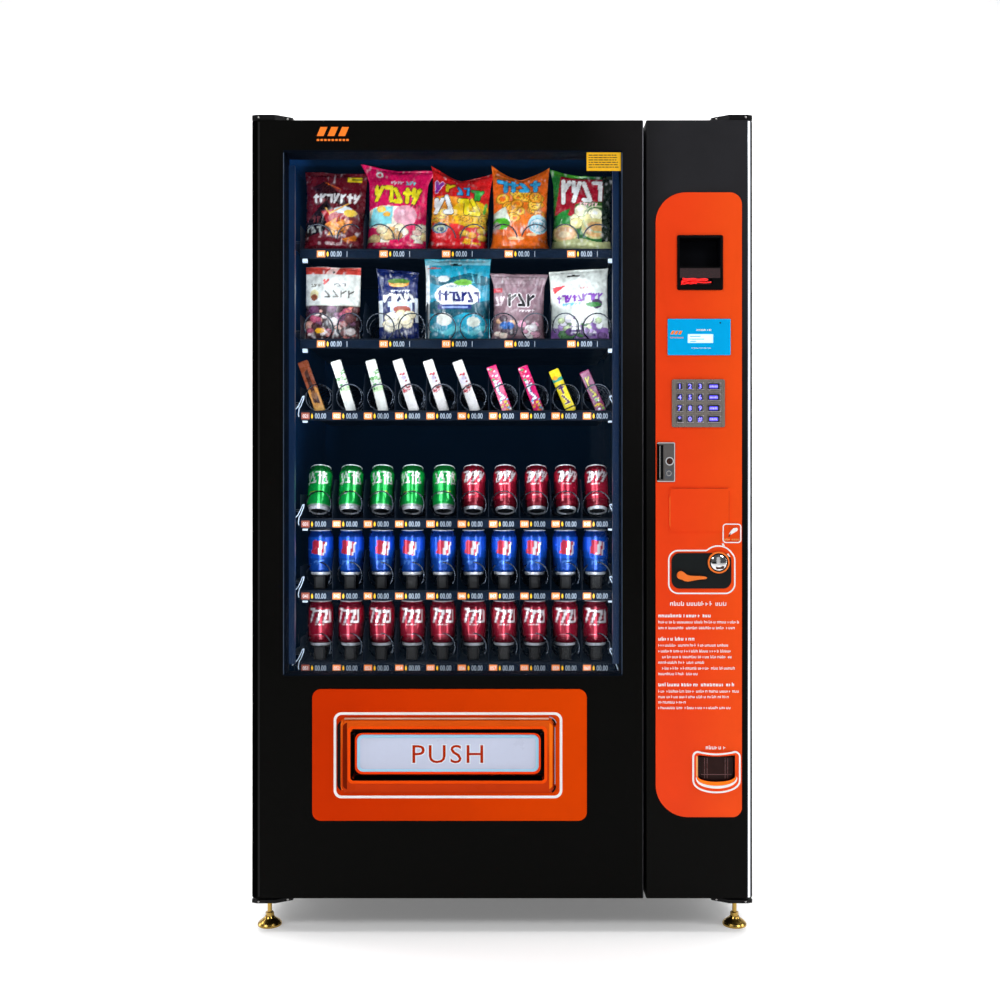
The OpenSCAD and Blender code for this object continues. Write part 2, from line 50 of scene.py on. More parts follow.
# ---------------------------------------------------------------- materials
def lin(h):
    v = [int(h[i:i + 2], 16) / 255 for i in (1, 3, 5)]
    return [c / 12.92 if c <= 0.04045 else ((c + 0.055) / 1.055) ** 2.4 for c in v]


def remap(nt, value, lo, hi, to_lo=0.0, to_hi=1.0, smooth=False):
    """Carries a value from the range lo to hi over to the range to_lo to to_hi."""
    r = nt.nodes.new("ShaderNodeMapRange")
    if smooth:
        r.interpolation_type = "SMOOTHSTEP"
    for key, number in (("From Min", lo), ("From Max", hi), ("To Min", to_lo), ("To Max", to_hi)):
        r.inputs[key].default_value = number
    nt.links.new(value, r.inputs["Value"])
    return r.outputs["Result"]


def noise_tex(nt, vector, scale, detail, roughness):
    t = nt.nodes.new("ShaderNodeTexNoise")
    for key, number in (("Scale", scale), ("Detail", detail), ("Roughness", roughness)):
        t.inputs[key].default_value = number
    nt.links.new(vector, t.inputs["Vector"])
    return t.outputs["Fac"]


def fade(nt, first, second, spans):
    """Colour that goes from first to second along each (axis, from, to) of world position."""
    xyz = nt.nodes.new("ShaderNodeSeparateXYZ")
    nt.links.new(nt.nodes.new("ShaderNodeNewGeometry").outputs["Position"], xyz.inputs["Vector"])
    share = None
    for axis, lo, hi in spans:
        part = remap(nt, xyz.outputs[axis], lo, hi, smooth=True)
        if share is None:
            share = part
            continue
        product = nt.nodes.new("ShaderNodeMath")
        product.operation = "MULTIPLY"
        nt.links.new(share, product.inputs[0])
        nt.links.new(part, product.inputs[1])
        share = product.outputs["Value"]
    mix = nt.nodes.new("ShaderNodeMix")
    mix.data_type = "RGBA"
    mix.inputs["A"].default_value = first + [1]
    mix.inputs["B"].default_value = lin(second) + [1]
    nt.links.new(share, mix.inputs["Factor"])
    return mix.outputs["Result"]


def pm(name, col, rough=0.4, metal=0.0, var=0.1, scale=12.0, rvar=0.08, bump=0.08, bscale=900.0,
        stretch=(1, 1, 1), coat=0.0, spec=0.5, emit=None, power=0.0, attr=False, grad=None):
    """Principled material with mottled colour, uneven roughness and a fine bump.
    grad = (second colour, (axis, from, to), ...) fades to the second colour along world X or Z."""
    m = bpy.data.materials.new(name)
    m.use_nodes = True
    nt = m.node_tree
    n, l = nt.nodes, nt.links
    b = n["Principled BSDF"]
    mp = n.new("ShaderNodeMapping")
    mp.inputs["Scale"].default_value = stretch
    l.new(n.new("ShaderNodeTexCoord").outputs["Object"], mp.inputs["Vector"])
    mottle = noise_tex(nt, mp.outputs["Vector"], scale, 6, 0.65)
    grain = noise_tex(nt, mp.outputs["Vector"], bscale, 3, 0.5)
    mix = n.new("ShaderNodeMix")
    mix.data_type = "RGBA"
    mix.blend_type = "MULTIPLY"
    mix.inputs["Factor"].default_value = 1.0
    if attr:
        painted = n.new("ShaderNodeAttribute")
        painted.attribute_name = "Col"
        l.new(painted.outputs["Color"], mix.inputs["A"])
    elif grad:
        l.new(fade(nt, lin(col), grad[0], grad[1:]), mix.inputs["A"])
    else:
        mix.inputs["A"].default_value = lin(col) + [1]
    l.new(remap(nt, mottle, 0.3, 0.7, 1 - var, 1 + var * 0.6), mix.inputs["B"])
    l.new(mix.outputs["Result"], b.inputs["Base Color"])
    l.new(remap(nt, mottle, 0.3, 0.7, max(0.02, rough - rvar), min(1, rough + rvar)), b.inputs["Roughness"])
    if bump:
        bp = n.new("ShaderNodeBump")
        bp.inputs["Strength"].default_value = bump
        bp.inputs["Distance"].default_value = 0.0006
        l.new(grain, bp.inputs["Height"])
        l.new(bp.outputs["Normal"], b.inputs["Normal"])
    settings = {"Metallic": metal, "Coat Weight": coat, "Coat Roughness": 0.12, "Specular IOR Level": spec}
    if emit:
        settings["Emission Color"] = lin(emit) + [1]
        settings["Emission Strength"] = power
    for key, value in settings.items():
        b.inputs[key].default_value = value
    return m


def glass_mat(name, tint, gloss=0.9):
    """Clear pane with a faint mirror share that grows toward grazing angles."""
    m = bpy.data.materials.new(name)
    m.use_nodes = True
    nt = m.node_tree
    n, l = nt.nodes, nt.links
    n.remove(n["Principled BSDF"])
    t = n.new("ShaderNodeBsdfTransparent")
    t.inputs["Color"].default_value = tint + [1]
    g = n.new("ShaderNodeBsdfGlossy")
    g.inputs["Roughness"].default_value = 0.02
    g.inputs["Color"].default_value = (gloss, gloss, gloss, 1)
    f = n.new("ShaderNodeFresnel")
    f.inputs["IOR"].default_value = 1.45
    cut = n.new("ShaderNodeMath")
    cut.operation = "MULTIPLY"
    cut.inputs[1].default_value = 0.05
    mx = n.new("ShaderNodeMixShader")
    l.new(f.outputs["Fac"], cut.inputs[0])
    l.new(cut.outputs["Value"], mx.inputs["Fac"])
    l.new(t.outputs["BSDF"], mx.inputs[1])
    l.new(g.outputs["BSDF"], mx.inputs[2])
    l.new(mx.outputs["Shader"], n["Material Output"].inputs["Surface"])
    return m


# door blacks: painted sheen of reflected light, fading lighter toward the upper right
BLACK = pm("door_black_paint_painted_sheen", "#080807", 0.50, var=0.12, scale=6, bump=0.12, bscale=1400, spec=0.03,
    grad=("#191819", ("X", 0.15, 0.33), ("Z", 0.9, 1.8)))
BLACK2 = pm("control_black_paint_painted_sheen", "#090908", 0.50, var=0.12, scale=6, bump=0.12, bscale=1400, spec=0.04,
    grad=("#29292c", ("Z", 0.8, 1.85), ("X", 0.25, 0.42)))
CAB = pm("cabinet_black_paint", "#0f0f10", 0.44, var=0.14, scale=5, bump=0.15, bscale=1300, spec=0.2)
REAR = pm("rear_grey_paint", "#3b3c3f", 0.5, var=0.14, scale=7, bump=0.15, bscale=1300)
# liner navy: painted light, lighter on the upper part of the left wall, with a faint painted glow
NAVY = pm("liner_navy_painted_glow", "#06192f", 0.72, var=0.2, scale=5, bump=0.1, bscale=900, spec=0.0,
    grad=("#173f70", ("X", -0.47, -0.53), ("Z", 0.9, 1.7)), emit="#0a1e30", power=0.22)
# tray slate: a faint painted glow lightens the dark trays
SLATE = pm("tray_slate_paint", "#0a121d", 0.55, var=0.15, scale=14, bump=0.1, bscale=1200, spec=0.1,
    emit="#0a1a2a", power=0.22)
RAILC = pm("tray_rail_zinc", "#6d747d", 0.34, 0.9, var=0.15, scale=20, stretch=(1, 0.05, 1))
# fascia orange: painted sheen, a little brighter toward the right
ORANGE = pm("fascia_orange_paint_painted_sheen", "#ec4010", 0.42, var=0.05, scale=5, bump=0.06, bscale=1500, spec=0.1,
    grad=("#f04c10", ("X", 0.40, 0.56)))
# lower panel orange: painted shade, darker toward the left
PADOR = pm("panel_orange_paint_painted_shade", "#c83000", 0.42, var=0.06, scale=5, bump=0.06, bscale=1500, spec=0.02,
    grad=("#dc4200", ("X", -0.44, 0.20)))
# bezel orange: painted light, brighter toward the top
BEZOR = pm("bezel_orange_gloss_painted_light", "#c43602", 0.3, var=0.08, scale=9, bump=0.03, spec=0.05,
    grad=("#da5208", ("Z", 0.40, 0.475)))
# flap rim: painted glow
RIM = pm("flap_rim_red_painted_glow", "#f03c08", 0.4, var=0.06, spec=0.05, emit="#ff4408", power=0.4)
PLATE = pm("flap_plate_grey", "#ccd4ec", 0.32, var=0.05, scale=9, bump=0.05, coat=0.2)
# flap plate border: faint painted glow
PLATEB = pm("flap_plate_border_painted_glow", "#b0e2fc", 0.4, var=0.05, spec=0.1, emit="#a8dcff", power=0.1)
PUSHC = pm("letter_red", "#b42c06", 0.5, var=0.06, spec=0.02)
WHITE = pm("print_white_and_painted_highlight", "#f4f2f0", 0.4, var=0.05, bump=0.03)
STEEL = pm("brushed_steel", "#9b938c", 0.3, 0.95, var=0.14, scale=90, rvar=0.1, stretch=(1, 1, 0.03))
KEYM = pm("key_metal", "#8f8a8c", 0.3, 0.8, var=0.12, scale=120, rvar=0.08, stretch=(0.05, 1, 1))
KEYB = pm("key_border", "#1c1a24", 0.4, 0.2, var=0.1, scale=60)
MIRROR = pm("bright_chrome", "#dcdcde", 0.1, 1.0, var=0.05, scale=60, rvar=0.04, bump=0.02)
SATIN = pm("satin_chrome", "#b4b2b0", 0.26, 0.9, var=0.2, scale=40, rvar=0.1)
# cup lip orange: faint painted glow
HOTC = pm("cup_lip_orange_painted_glow", "#fb7c14", 0.35, var=0.06, spec=0.1, emit="#ff7a10", power=0.12)
CUPL = pm("cup_line", "#6a3434", 0.3, var=0.1)
CHROME = pm("lock_chrome", "#c9cbce", 0.14, 1.0, var=0.06, scale=60, rvar=0.05)
BRASS = pm("foot_brass", "#b7954c", 0.26, 1.0, var=0.14, scale=40, rvar=0.1, bump=0.1)
WIRE = pm("spiral_wire", "#4c535d", 0.28, 1.0, var=0.12, scale=80, rvar=0.08, bump=0.02)
HINGE = pm("hinge_black", "#080809", 0.4, var=0.12, scale=30, spec=0.12)
RUBBER = pm("gasket_rubber", "#101012", 0.75, var=0.15, scale=60, bump=0.25, bscale=700)
TRIM = pm("trim_navy", "#060f1b", 0.6, var=0.12, scale=60, stretch=(1, 1, 0.04), spec=0.03)
# window edge: pale painted highlight lines for the window's upright edges
EDGEL = pm("window_edge_painted_highlight", "#39485e", 0.4, var=0.2, scale=8, spec=0.2)
LOCKP = pm("lock_plate_steel", "#75716f", 0.34, 0.9, var=0.3, scale=8, stretch=(0.1, 1, 1), rvar=0.15)
TAGD = pm("shelf_tag_shaded", "#a8523c", 0.5, var=0.08)
STRIPC = pm("price_strip_navy", "#0c1929", 0.5, var=0.15, scale=30, spec=0.05)
BIN = pm("bin_plastic", "#0d0e10", 0.6, var=0.15, scale=30, bump=0.3, bscale=800)
MECH = pm("mech_plastic", "#202226", 0.55, var=0.15, scale=30, bump=0.3, bscale=800)
UNIT = pm("unit_steel", "#4a4d52", 0.5, 0.4, var=0.2, scale=16)
ALU = pm("evaporator_alu", "#9aa2aa", 0.38, 0.9, var=0.14, scale=30)
# moulded black; also painted shade in the lock recess and a painted dark reflection on the coin dome
GLOSSB = pm("moulded_black_and_painted_shade", "#161a1b", 0.45, var=0.1, bump=0.03, spec=0.1)
VALB = pm("validator_black", "#050506", 0.4, var=0.1, bump=0.03, spec=0.08)
SMOKE = pm("cup_smoke", "#2c1512", 0.4, var=0.25, scale=30, bump=0.02, spec=0.1)
LEVER = pm("lever_orange", "#f5761c", 0.35, var=0.08, coat=0.2, spec=0.3)
BLUE = pm("display_blue", "#00a0dc", 0.4, var=0.07, scale=16, bump=0.03, spec=0.04, emit="#0090cc",
    power=0.16)
LCD = pm("lcd_screen", "#dff6ff", 0.3, var=0.04, emit="#cfefff", power=0.55)
GLOW = pm("key_glow", "#4a3ee0", 0.4, var=0.03, emit="#5548f4", power=0.9)
GLOWP = pm("key_glow_pale", "#c8c4ff", 0.4, var=0.03, emit="#b4b0ff", power=0.7)
MOUTH = pm("mouth_glow", "#b00808", 0.3, var=0.3, scale=60, emit="#ff0a08", power=0.9)
LEDGE = pm("mouth_ledge", "#26040a", 0.25, var=0.3, scale=30, coat=0.3, stretch=(0.2, 1, 1))
VOID = pm("validator_window", "#05060b", 0.45, var=0.12, scale=30, spec=0.04)
# painted highlight on the right door's rounded edge: a bright glowing band, with dull bands either side
EDGE_HIGHLIGHT = pm("painted_edge_highlight", "#e4e8f0", 0.25, 0.4, var=0.06, scale=40, stretch=(1, 1, 0.03), emit="#e4e8f0",
    power=0.45)
DULLS = pm("dull_strip", "#5c5f66", 0.35, 0.4, var=0.1, scale=40, stretch=(1, 1, 0.03))
# bezel edge lines: black and dark red lines of painted shade, bright orange, side and top lines of painted
# highlight, and a painted reflection along the foot
DARKL = pm("bezel_shadow_line", "#050201", 0.4, var=0.1, spec=0.1)
REDL = pm("bezel_painted_shade_line", "#741b01", 0.5, var=0.2, scale=20, spec=0.02)
HOTL = pm("bezel_lip", "#f44c00", 0.4, var=0.06, spec=0.05)
HOTY = pm("bezel_painted_highlight", "#fa7406", 0.4, var=0.08, spec=0.08)
SIDE_SHEEN = pm("bezel_side_painted_highlight", "#a79fae", 0.4, var=0.15, scale=30, spec=0.2)
EDGEP = pm("bezel_top_painted_highlight", "#dcb094", 0.45, var=0.2, scale=12, spec=0.1)
EDGEQ = pm("bezel_foot_painted_reflection", "#a4492c", 0.45, var=0.2, scale=12, spec=0.1)
# painted highlight line at the left door's fold, and on the seam edge (next line) a painted highlight
# brighter toward the top
FAINT = pm("door_fold_painted_highlight", "#242425", 0.6, var=0.2, scale=6, spec=0.05)
DULLE = pm("seam_edge_painted_highlight", "#303033", 0.5, 0.3, var=0.1, spec=0.2, grad=("#7c7c82", ("Z", 0.9, 1.7)))
VOIDB = pm("mouth_black", "#030404", 0.6, var=0.15, scale=30, spec=0.02)
# near-black painted dark reflection on the doors' rounded outer edges
EDGEB = pm("edge_painted_dark_reflection", "#040404", 0.8, var=0.1, scale=30, spec=0.0)
PALEG = pm("letter_halo", "#e6eefa", 0.35, var=0.03)
LAMP = pm("lamp_opal", "#10233f", 0.35, var=0.06, emit="#123258", power=0.35)
LABELO2 = pm("cover_highlight", "#fb7416", 0.4, var=0.2, scale=40)
REDO = pm("cover_shadow_line", "#c93a14", 0.4, var=0.15, scale=40, spec=0.1)
LABELO = pm("label_orange", "#f4a050", 0.4, var=0.05)
# keyway brown; also a painted brown reflection on the coin dome
BROWN_KEYWAY_AND_REFLECTION = pm("keyway_brown_and_painted_reflection", "#4a2a22", 0.3, 0.6, var=0.2, scale=200)
# price strip tags, arrows, digits and clips each carry a faint painted glow
TAGO = pm("tag_orange", "#f98a42", 0.5, var=0.1, scale=60, emit="#f07a30", power=0.12)
ARROW = pm("arrow_yellow", "#ffc400", 0.5, var=0.06, emit="#ffb800", power=0.15)
DIGIT = pm("digit_grey", "#9aa6b4", 0.5, var=0.2, scale=4, emit="#8893a5", power=0.06)
CLIPC = pm("clip_white", "#cfe0f2", 0.4, var=0.06, emit="#cfe0f2", power=0.08)
# yellow window label: faint painted glow
LABELY = pm("label_yellow", "#f2b70a", 0.45, var=0.06, emit="#d09a00", power=0.12)
INK = pm("ink_dark", "#2a2412", 0.5, var=0.1)
# emblem: faint painted glow
EMBLEM = pm("emblem_orange", "#fa7c14", 0.4, var=0.06, emit="#ff7a10", power=0.2)
RISER = pm("riser_black", "#07090e", 0.5, var=0.2, scale=60, spec=0.15)
PRINT = pm("pack_print", "#ffffff", 0.28, var=0.1, scale=60, rvar=0.1, bump=0.12, bscale=300, coat=0.4,
    attr=True)
CANM = pm("can_print", "#ffffff", 0.24, 0.5, var=0.05, scale=40, rvar=0.05, bump=0.0, coat=0.25, attr=True)
CANA = pm("can_aluminium", "#e4e7ee", 0.3, 0.35, var=0.08, scale=60)
# can foot dome: darker than the can's aluminium, painted shade in the hollow
CAND = pm("can_dome_painted_shade", "#3a3d42", 0.3, 0.7, var=0.3, scale=60)
GLASS = glass_mat("pane_glass", [0.985, 0.992, 1.0])


# ---------------------------------------------------------------- mesh building, in millimetres
class Build:
    def __init__(s):
        s.v, s.f, s.m, s.sm, s.c, s.mats = [], [], [], [], [], []

    def add(s, v, f, mat, smooth=False, col=None):
        if mat not in s.mats:
            s.mats.append(mat)
        o, k = len(s.v), s.mats.index(mat)
        s.v += [tuple(p) for p in v]
        s.f += [[i + o for i in q] for q in f]
        s.m += [k] * len(f)
        s.sm += [smooth] * len(f)
        s.c += col if col else [(1, 1, 1)] * len(v)

    def box(s, a, b, mat):
        x0, y0, z0 = a
        x1, y1, z1 = b
        s.prism([(x0, z0), (x1, z0), (x1, z1), (x0, z1)], y0, y1, mat)

    def prism(s, pts, y0, y1, mat, chamfer=0.0):
        """Outline in X and Z, from y0 (front) to y1; chamfer rounds off the front edge."""
        n = len(pts)
        if chamfer:
            cx = sum(p[0] for p in pts) / n
            cz = sum(p[1] for p in pts) / n
            ins = []
            for i, p in enumerate(pts):
                a, b = pts[i - 1], pts[(i + 1) % n]
                t = Vector((b[0] - a[0], b[1] - a[1]))
                t.normalize()
                ins.append((p[0] - t.y * chamfer, p[1] + t.x * chamfer))
            v = ([(x, y0, z) for x, z in ins] + [(x, y0 + chamfer, z) for x, z in pts]
                + [(x, y1, z) for x, z in pts])
            f = [list(range(n)), list(range(3 * n - 1, 2 * n - 1, -1))]
            for k in (0, n):
                f += [[k + i, k + n + i, k + n + (i + 1) % n, k + (i + 1) % n] for i in range(n)]
        else:
            v = [(x, y0, z) for x, z in pts] + [(x, y1, z) for x, z in pts]
            f = [list(range(n)), list(range(2 * n - 1, n - 1, -1))]
            f += [[i, n + i, n + (i + 1) % n, (i + 1) % n] for i in range(n)]
        s.add(v, f, mat)

    def ring(s, out, inn, y0, y1, mat):
        """Flat band between two outlines with the same number of points."""
        n = len(out)
        v = [(x, y0, z) for x, z in out] + [(x, y0, z) for x, z in inn]
        v += [(x, y1, z) for x, z in out] + [(x, y1, z) for x, z in inn]
        f = []
        for i in range(n):
            j = (i + 1) % n
            f += [[i, j, n + j, n + i], [2 * n + i, 3 * n + i, 3 * n + j, 2 * n + j],
                [i, 2 * n + i, 2 * n + j, j], [n + i, n + j, 3 * n + j, 3 * n + i]]
        s.add(v, f, mat)

    def sheet(s, pts, up, down, mat):
        """Thin plate on the doors' front, from up to down millimetres before the door face."""
        s.prism(pts, FRONT - up, FRONT - down, mat)

    def band(s, out, inn, up, down, mat):
        """Ring on the doors' front, placed in the same way as a sheet."""
        s.ring(out, inn, FRONT - up, FRONT - down, mat)

    def lathe(s, prof, origin, axis, mat, n=32):
        """Profile of (radius, height) turned about axis 'Y' or 'Z' through origin."""
        ox, oy, oz = origin
        v, f = [], []
        for r, h in prof:
            for i in range(n):
                a = 2 * pi * i / n
                if axis == "Z":
                    v.append((ox + r * cos(a), oy + r * sin(a), oz + h))
                else:
                    v.append((ox + r * cos(a), oy + h, oz + r * sin(a)))
        for k in range(len(prof) - 1):
            f += [[k * n + i, k * n + (i + 1) % n, (k + 1) * n + (i + 1) % n, (k + 1) * n + i]
                for i in range(n)]
        s.add(v, f, mat, True)

    def tube(s, pts, r, mat, k=8):
        """Round rod of radius r along a run of points."""
        v, f = [], []
        P = [Vector(p) for p in pts]
        up = Vector((0.13, 0.29, 0.95))
        for i, p in enumerate(P):
            t = (P[min(i + 1, len(P) - 1)] - P[max(i - 1, 0)]).normalized()
            up = (up - t * up.dot(t)).normalized()
            w = t.cross(up)
            for j in range(k):
                a = 2 * pi * j / k
                v.append(p + up * (r * cos(a)) + w * (r * sin(a)))
        for i in range(len(P) - 1):
            f += [[i * k + j, i * k + (j + 1) % k, (i + 1) * k + (j + 1) % k, (i + 1) * k + j]
                for j in range(k)]
        f += [list(range(k)), list(range(len(P) * k - 1, (len(P) - 1) * k - 1, -1))]
        s.add(v, f, mat, True)

    def text(s, body, x, z, h, y, mat, depth=0.3, wide=1.0, bold=0.0, gap=1.0):
        """Raised digits or letters of height h, centred on x and standing on z."""
        c = bpy.data.curves.new("t", "FONT")
        c.body = body
        c.size = h / 0.69
        c.extrude = depth / 2
        c.offset = bold
        c.space_character = gap
        c.resolution_u = 3
        o = bpy.data.objects.new("t", c)
        bpy.context.scene.collection.objects.link(o)
        bpy.context.view_layer.update()
        me = bpy.data.meshes.new_from_object(o)
        xs = [p.co.x for p in me.vertices]
        mid = (min(xs) + max(xs)) / 2
        v = [(x + (p.co.x - mid) * wide, y - depth / 2 - p.co.z, z + p.co.y) for p in me.vertices]
        f = [list(q.vertices) for q in me.polygons]
        s.add(v, f, mat)
        bpy.data.objects.remove(o)
        bpy.data.meshes.remove(me)
        bpy.data.curves.remove(c)

    def done(s, name, body, slot=None, replaces=()):
        """Makes the mesh object, in metres from the floor, and lets it ride on its body."""
        me = bpy.data.meshes.new(name)
        me.from_pydata([(x * MM, y * MM, (z - DROP) * MM) for x, y, z in s.v], [], s.f)
        for m in s.mats:
            me.materials.append(m)
        me.polygons.foreach_set("material_index", s.m)
        me.polygons.foreach_set("use_smooth", s.sm)
        if PRINT in s.mats or CANM in s.mats:
            at = me.color_attributes.new("Col", "FLOAT_COLOR", "POINT")
            at.data.foreach_set("color", [x for c in s.c for x in (c[0], c[1], c[2], 1.0)])
        me.update()
        bm = bmesh.new()
        bm.from_mesh(me)
        bmesh.ops.recalc_face_normals(bm, faces=bm.faces[:])
        bm.to_mesh(me)
        bm.free()
        o = bpy.data.objects.new(name, me)
        bpy.context.scene.collection.objects.link(o)
        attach(o, body)
        if replaces:
            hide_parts(*replaces)
        return o


def rrect(x0, z0, x1, z1, r, n=8):
    """Rounded rectangle; r is one radius, or four from the lower left round to the upper left."""
    if not isinstance(r, (list, tuple)):
        r = (r, r, r, r)
    pts = []
    for (cx, cz, rr, a0) in ((x0 + r[0], z0 + r[0], r[0], 180), (x1 - r[1], z0 + r[1], r[1], 270),
            (x1 - r[2], z1 - r[2], r[2], 0), (x0 + r[3], z1 - r[3], r[3], 90)):
        for i in range(n + 1):
            a = radians(a0 + 90 * i / n)
            pts.append((cx + rr * cos(a), cz + rr * sin(a)))
    return pts


def disc(cx, cz, r, n=32):
    """Circle as a closed outline."""
    return [(cx + r * cos(2 * pi * i / n), cz + r * sin(2 * pi * i / n)) for i in range(n)]


def dense(pts, step=3.0):
    """The same closed outline with points no further apart than about step."""
    q = []
    for i, p in enumerate(pts):
        a = pts[(i + 1) % len(pts)]
        k = max(1, int(hypot(a[0] - p[0], a[1] - p[1]) / step))
        q += [(p[0] + (a[0] - p[0]) * t / k, p[1] + (a[1] - p[1]) * t / k) for t in range(k)]
    return q


def shrink(pts, d):
    """Outline moved inward by d."""
    n = len(pts)
    q = []
    for i, p in enumerate(pts):
        a, c = pts[i - 1], pts[(i + 1) % n]
        t = Vector((c[0] - a[0], c[1] - a[1]))
        t.normalize()
        q.append((p[0] - t.y * d, p[1] + t.x * d))
    return q


def crescent(x0, x1, z0, z1, tip):
    """Upright band from x0 to x1 whose ends taper toward x1."""
    q = ([(x0, z0 + tip)] + [(x0 + (x1 - x0) * (1 - cos(pi * t / 10)) / 2, z0 + tip - tip * sin(pi * t / 20))
        for t in range(1, 11)])
    q += ([(x0 + (x1 - x0) * (1 - cos(pi * t / 10)) / 2, z1 - tip + tip * sin(pi * t / 20))
        for t in range(10, 0, -1)] + [(x0, z1 - tip)])
    return q if x1 > x0 else q[::-1]


def cup_line(x0, x1, zt, zs, zb, dip, r):
    """Closed outline: dipped top edge, straight sides, rounded foot."""
    cx, hw = (x0 + x1) / 2, (x1 - x0) / 2
    q = [(cx - hw * cos(pi * t / 24), zs - (zs - zb) * sin(pi * t / 24) ** 0.85) for t in range(25)]
    q += [(x1 - r + r * cos(radians(a)), zt - r + r * sin(radians(a))) for a in range(0, 91, 15)]
    q += [(x1 - r - (x1 - x0 - 2 * r) * t / 12, zt - dip * sin(pi * t / 12)) for t in range(1, 12)]
    q += [(x0 + r + r * cos(radians(a)), zt - r + r * sin(radians(a))) for a in range(90, 181, 15)]
    return q


def bump(pts, r):
    """Pushes the outline out into an arc of radius r round the coin inlet."""
    q = []
    for x, z in pts:
        d = hypot(x - INLET_X, z - INLET_Z)
        if z > 896 and abs(x - INLET_X) < r + 8 and d < r:
            z = max(z, INLET_Z + sqrt(max(0, r * r - (x - INLET_X) ** 2)))
        q.append((x, z))
    return q


def smile(b, x0, x1, zs, zt, zb, z2, mt, yy):
    """Crescent between two arcs: the inner from zs down to zt, the outer from z2 down to zb."""
    cx, hw = (x0 + x1) / 2, (x1 - x0) / 2
    lo = [(cx - hw * cos(pi * t / 24), z2 - (z2 - zb) * sin(pi * t / 24) ** 0.85) for t in range(25)]
    up = [(cx + (hw - 1.5) * cos(pi * t / 24), zs - (zs - zt) * sin(pi * t / 24) ** 0.85) for t in range(25)]
    b.prism(lo + up, yy, FRONT - 5.4, mt)


def edge_strip(b, cx, cy, r, a0, a1, z0, z1, mat, t=0.45, n=6):
    """Thin upright strip of painted highlight or shade that follows a rounded door edge; angles run from the
    front face outward.
    """
    ring = [(cx + (r + q) * sin(radians(a)), cy - (r + q) * cos(radians(a))) for q,
        seq in ((t, [a0 + (a1 - a0) * k / n for k in range(n + 1)]),
        (0.02, [a1 + (a0 - a1) * k / n for k in range(n + 1)])) for a in seq]
    m = len(ring)
    b.add([(x, y, z0) for x, y in ring] + [(x, y, z1) for x, y in ring],
        [list(range(m)), list(range(2 * m - 1, m - 1, -1))]
        + [[k, m + k, m + (k + 1) % m, (k + 1) % m] for k in range(m)], mat)


def words(b, x0, x1, z, h, seed, mat, y0, bold=False):
    """A line of letter-like bars that reads as small print but says nothing."""
    rnd = random.Random(seed)
    x = x0
    while x < x1 - h:
        letters = rnd.choice((3, 4, 5, 6, 7, 8))
        for k in range(letters):
            w = h * rnd.uniform(0.52, 0.72)
            if x + w > x1:
                break
            up = h * rnd.choice((0.72, 0.72, 0.72, 1.0, 0.86))
            t = h * (0.24 if bold else 0.17)
            kind = rnd.randrange(4)
            b.box((x, y0 - 0.25, z), (x + t, y0 + 0.1, z + up), mat)
            if kind != 1:
                b.box((x + w - t, y0 - 0.25, z), (x + w, y0 + 0.1, z + h * 0.72), mat)
            q = z + (0, h * 0.3, h * 0.72 - t, 0)[kind]
            b.box((x + t, y0 - 0.25, q), (x + w - t, y0 + 0.1, q + t), mat)
            x += w + h * 0.2
        x += h * 0.42


# ---------------------------------------------------------------- CAD nodes that keep their shape
KEEP = {"cabinet_shell": (CAB, 0), "rear_panel": (REAR, 0), "food_liner": (NAVY, 0),
    "hinge_brackets": (HINGE, 0.8), "levelling_feet": (BRASS, 0), "tray_rails": (RAILC, 0),
    "refrigeration_unit": (UNIT, 0), "condenser_fan": (ALU, 0), "evaporator_unit": (ALU, 0),
    "glass_door_frame": (BLACK, 0.8), "window_glass": (GLASS, 0), "window_trim": (TRIM, 0),
    "lamp_strips": (LAMP, 0), "door_gasket": (RUBBER, 0), "lower_panel": (PADOR, 0.6),
    "delivery_bezel": (BEZOR, 2.2), "delivery_bin": (BIN, 0), "control_door_panel": (BLACK2, 0.8),
    "control_fascia": (ORANGE, 0.6), "bill_validator": (VALB, 0.8), "display_module": (BLUE, 0.8),
    "keypad_plate": (STEEL, 0.8), "lock_plate": (LOCKP, 0.8), "lock_cylinder": (CHROME, 0.5),
    "blank_cover": (ORANGE, 0.6), "coin_plate": (GLOSSB, 0.8), "coin_lever": (LEVER, 0.8),
    "coin_mech": (MECH, 0), "coin_cup": (GLOSSB, 1.0), "coin_cup_flap": (SMOKE, 0.5)}
for i in range(6):
    KEEP["tray_%d" % (i + 1)] = (SLATE, 0)
for name, (mat, bev) in KEEP.items():
    o = N[name]
    for sl in o.material_slots:
        sl.link = "OBJECT"
        sl.material = mat
    if bev:
        w = o.modifiers.new("weld", "WELD")
        w.merge_threshold = 0.00002
        md = o.modifiers.new("edge", "BEVEL")
        md.width = bev * MM
        md.segments = 3
        md.limit_method = "ANGLE"
        md.angle_limit = radians(40)
        md.harden_normals = True

KX, KW = [413.1, 436.9, 460.4, 492.3], [18, 18, 18, 33]  # column centres and key widths
KH, KZ0, KPZ = 19, 1292, 25.33  # key height, height of the first row and row pitch

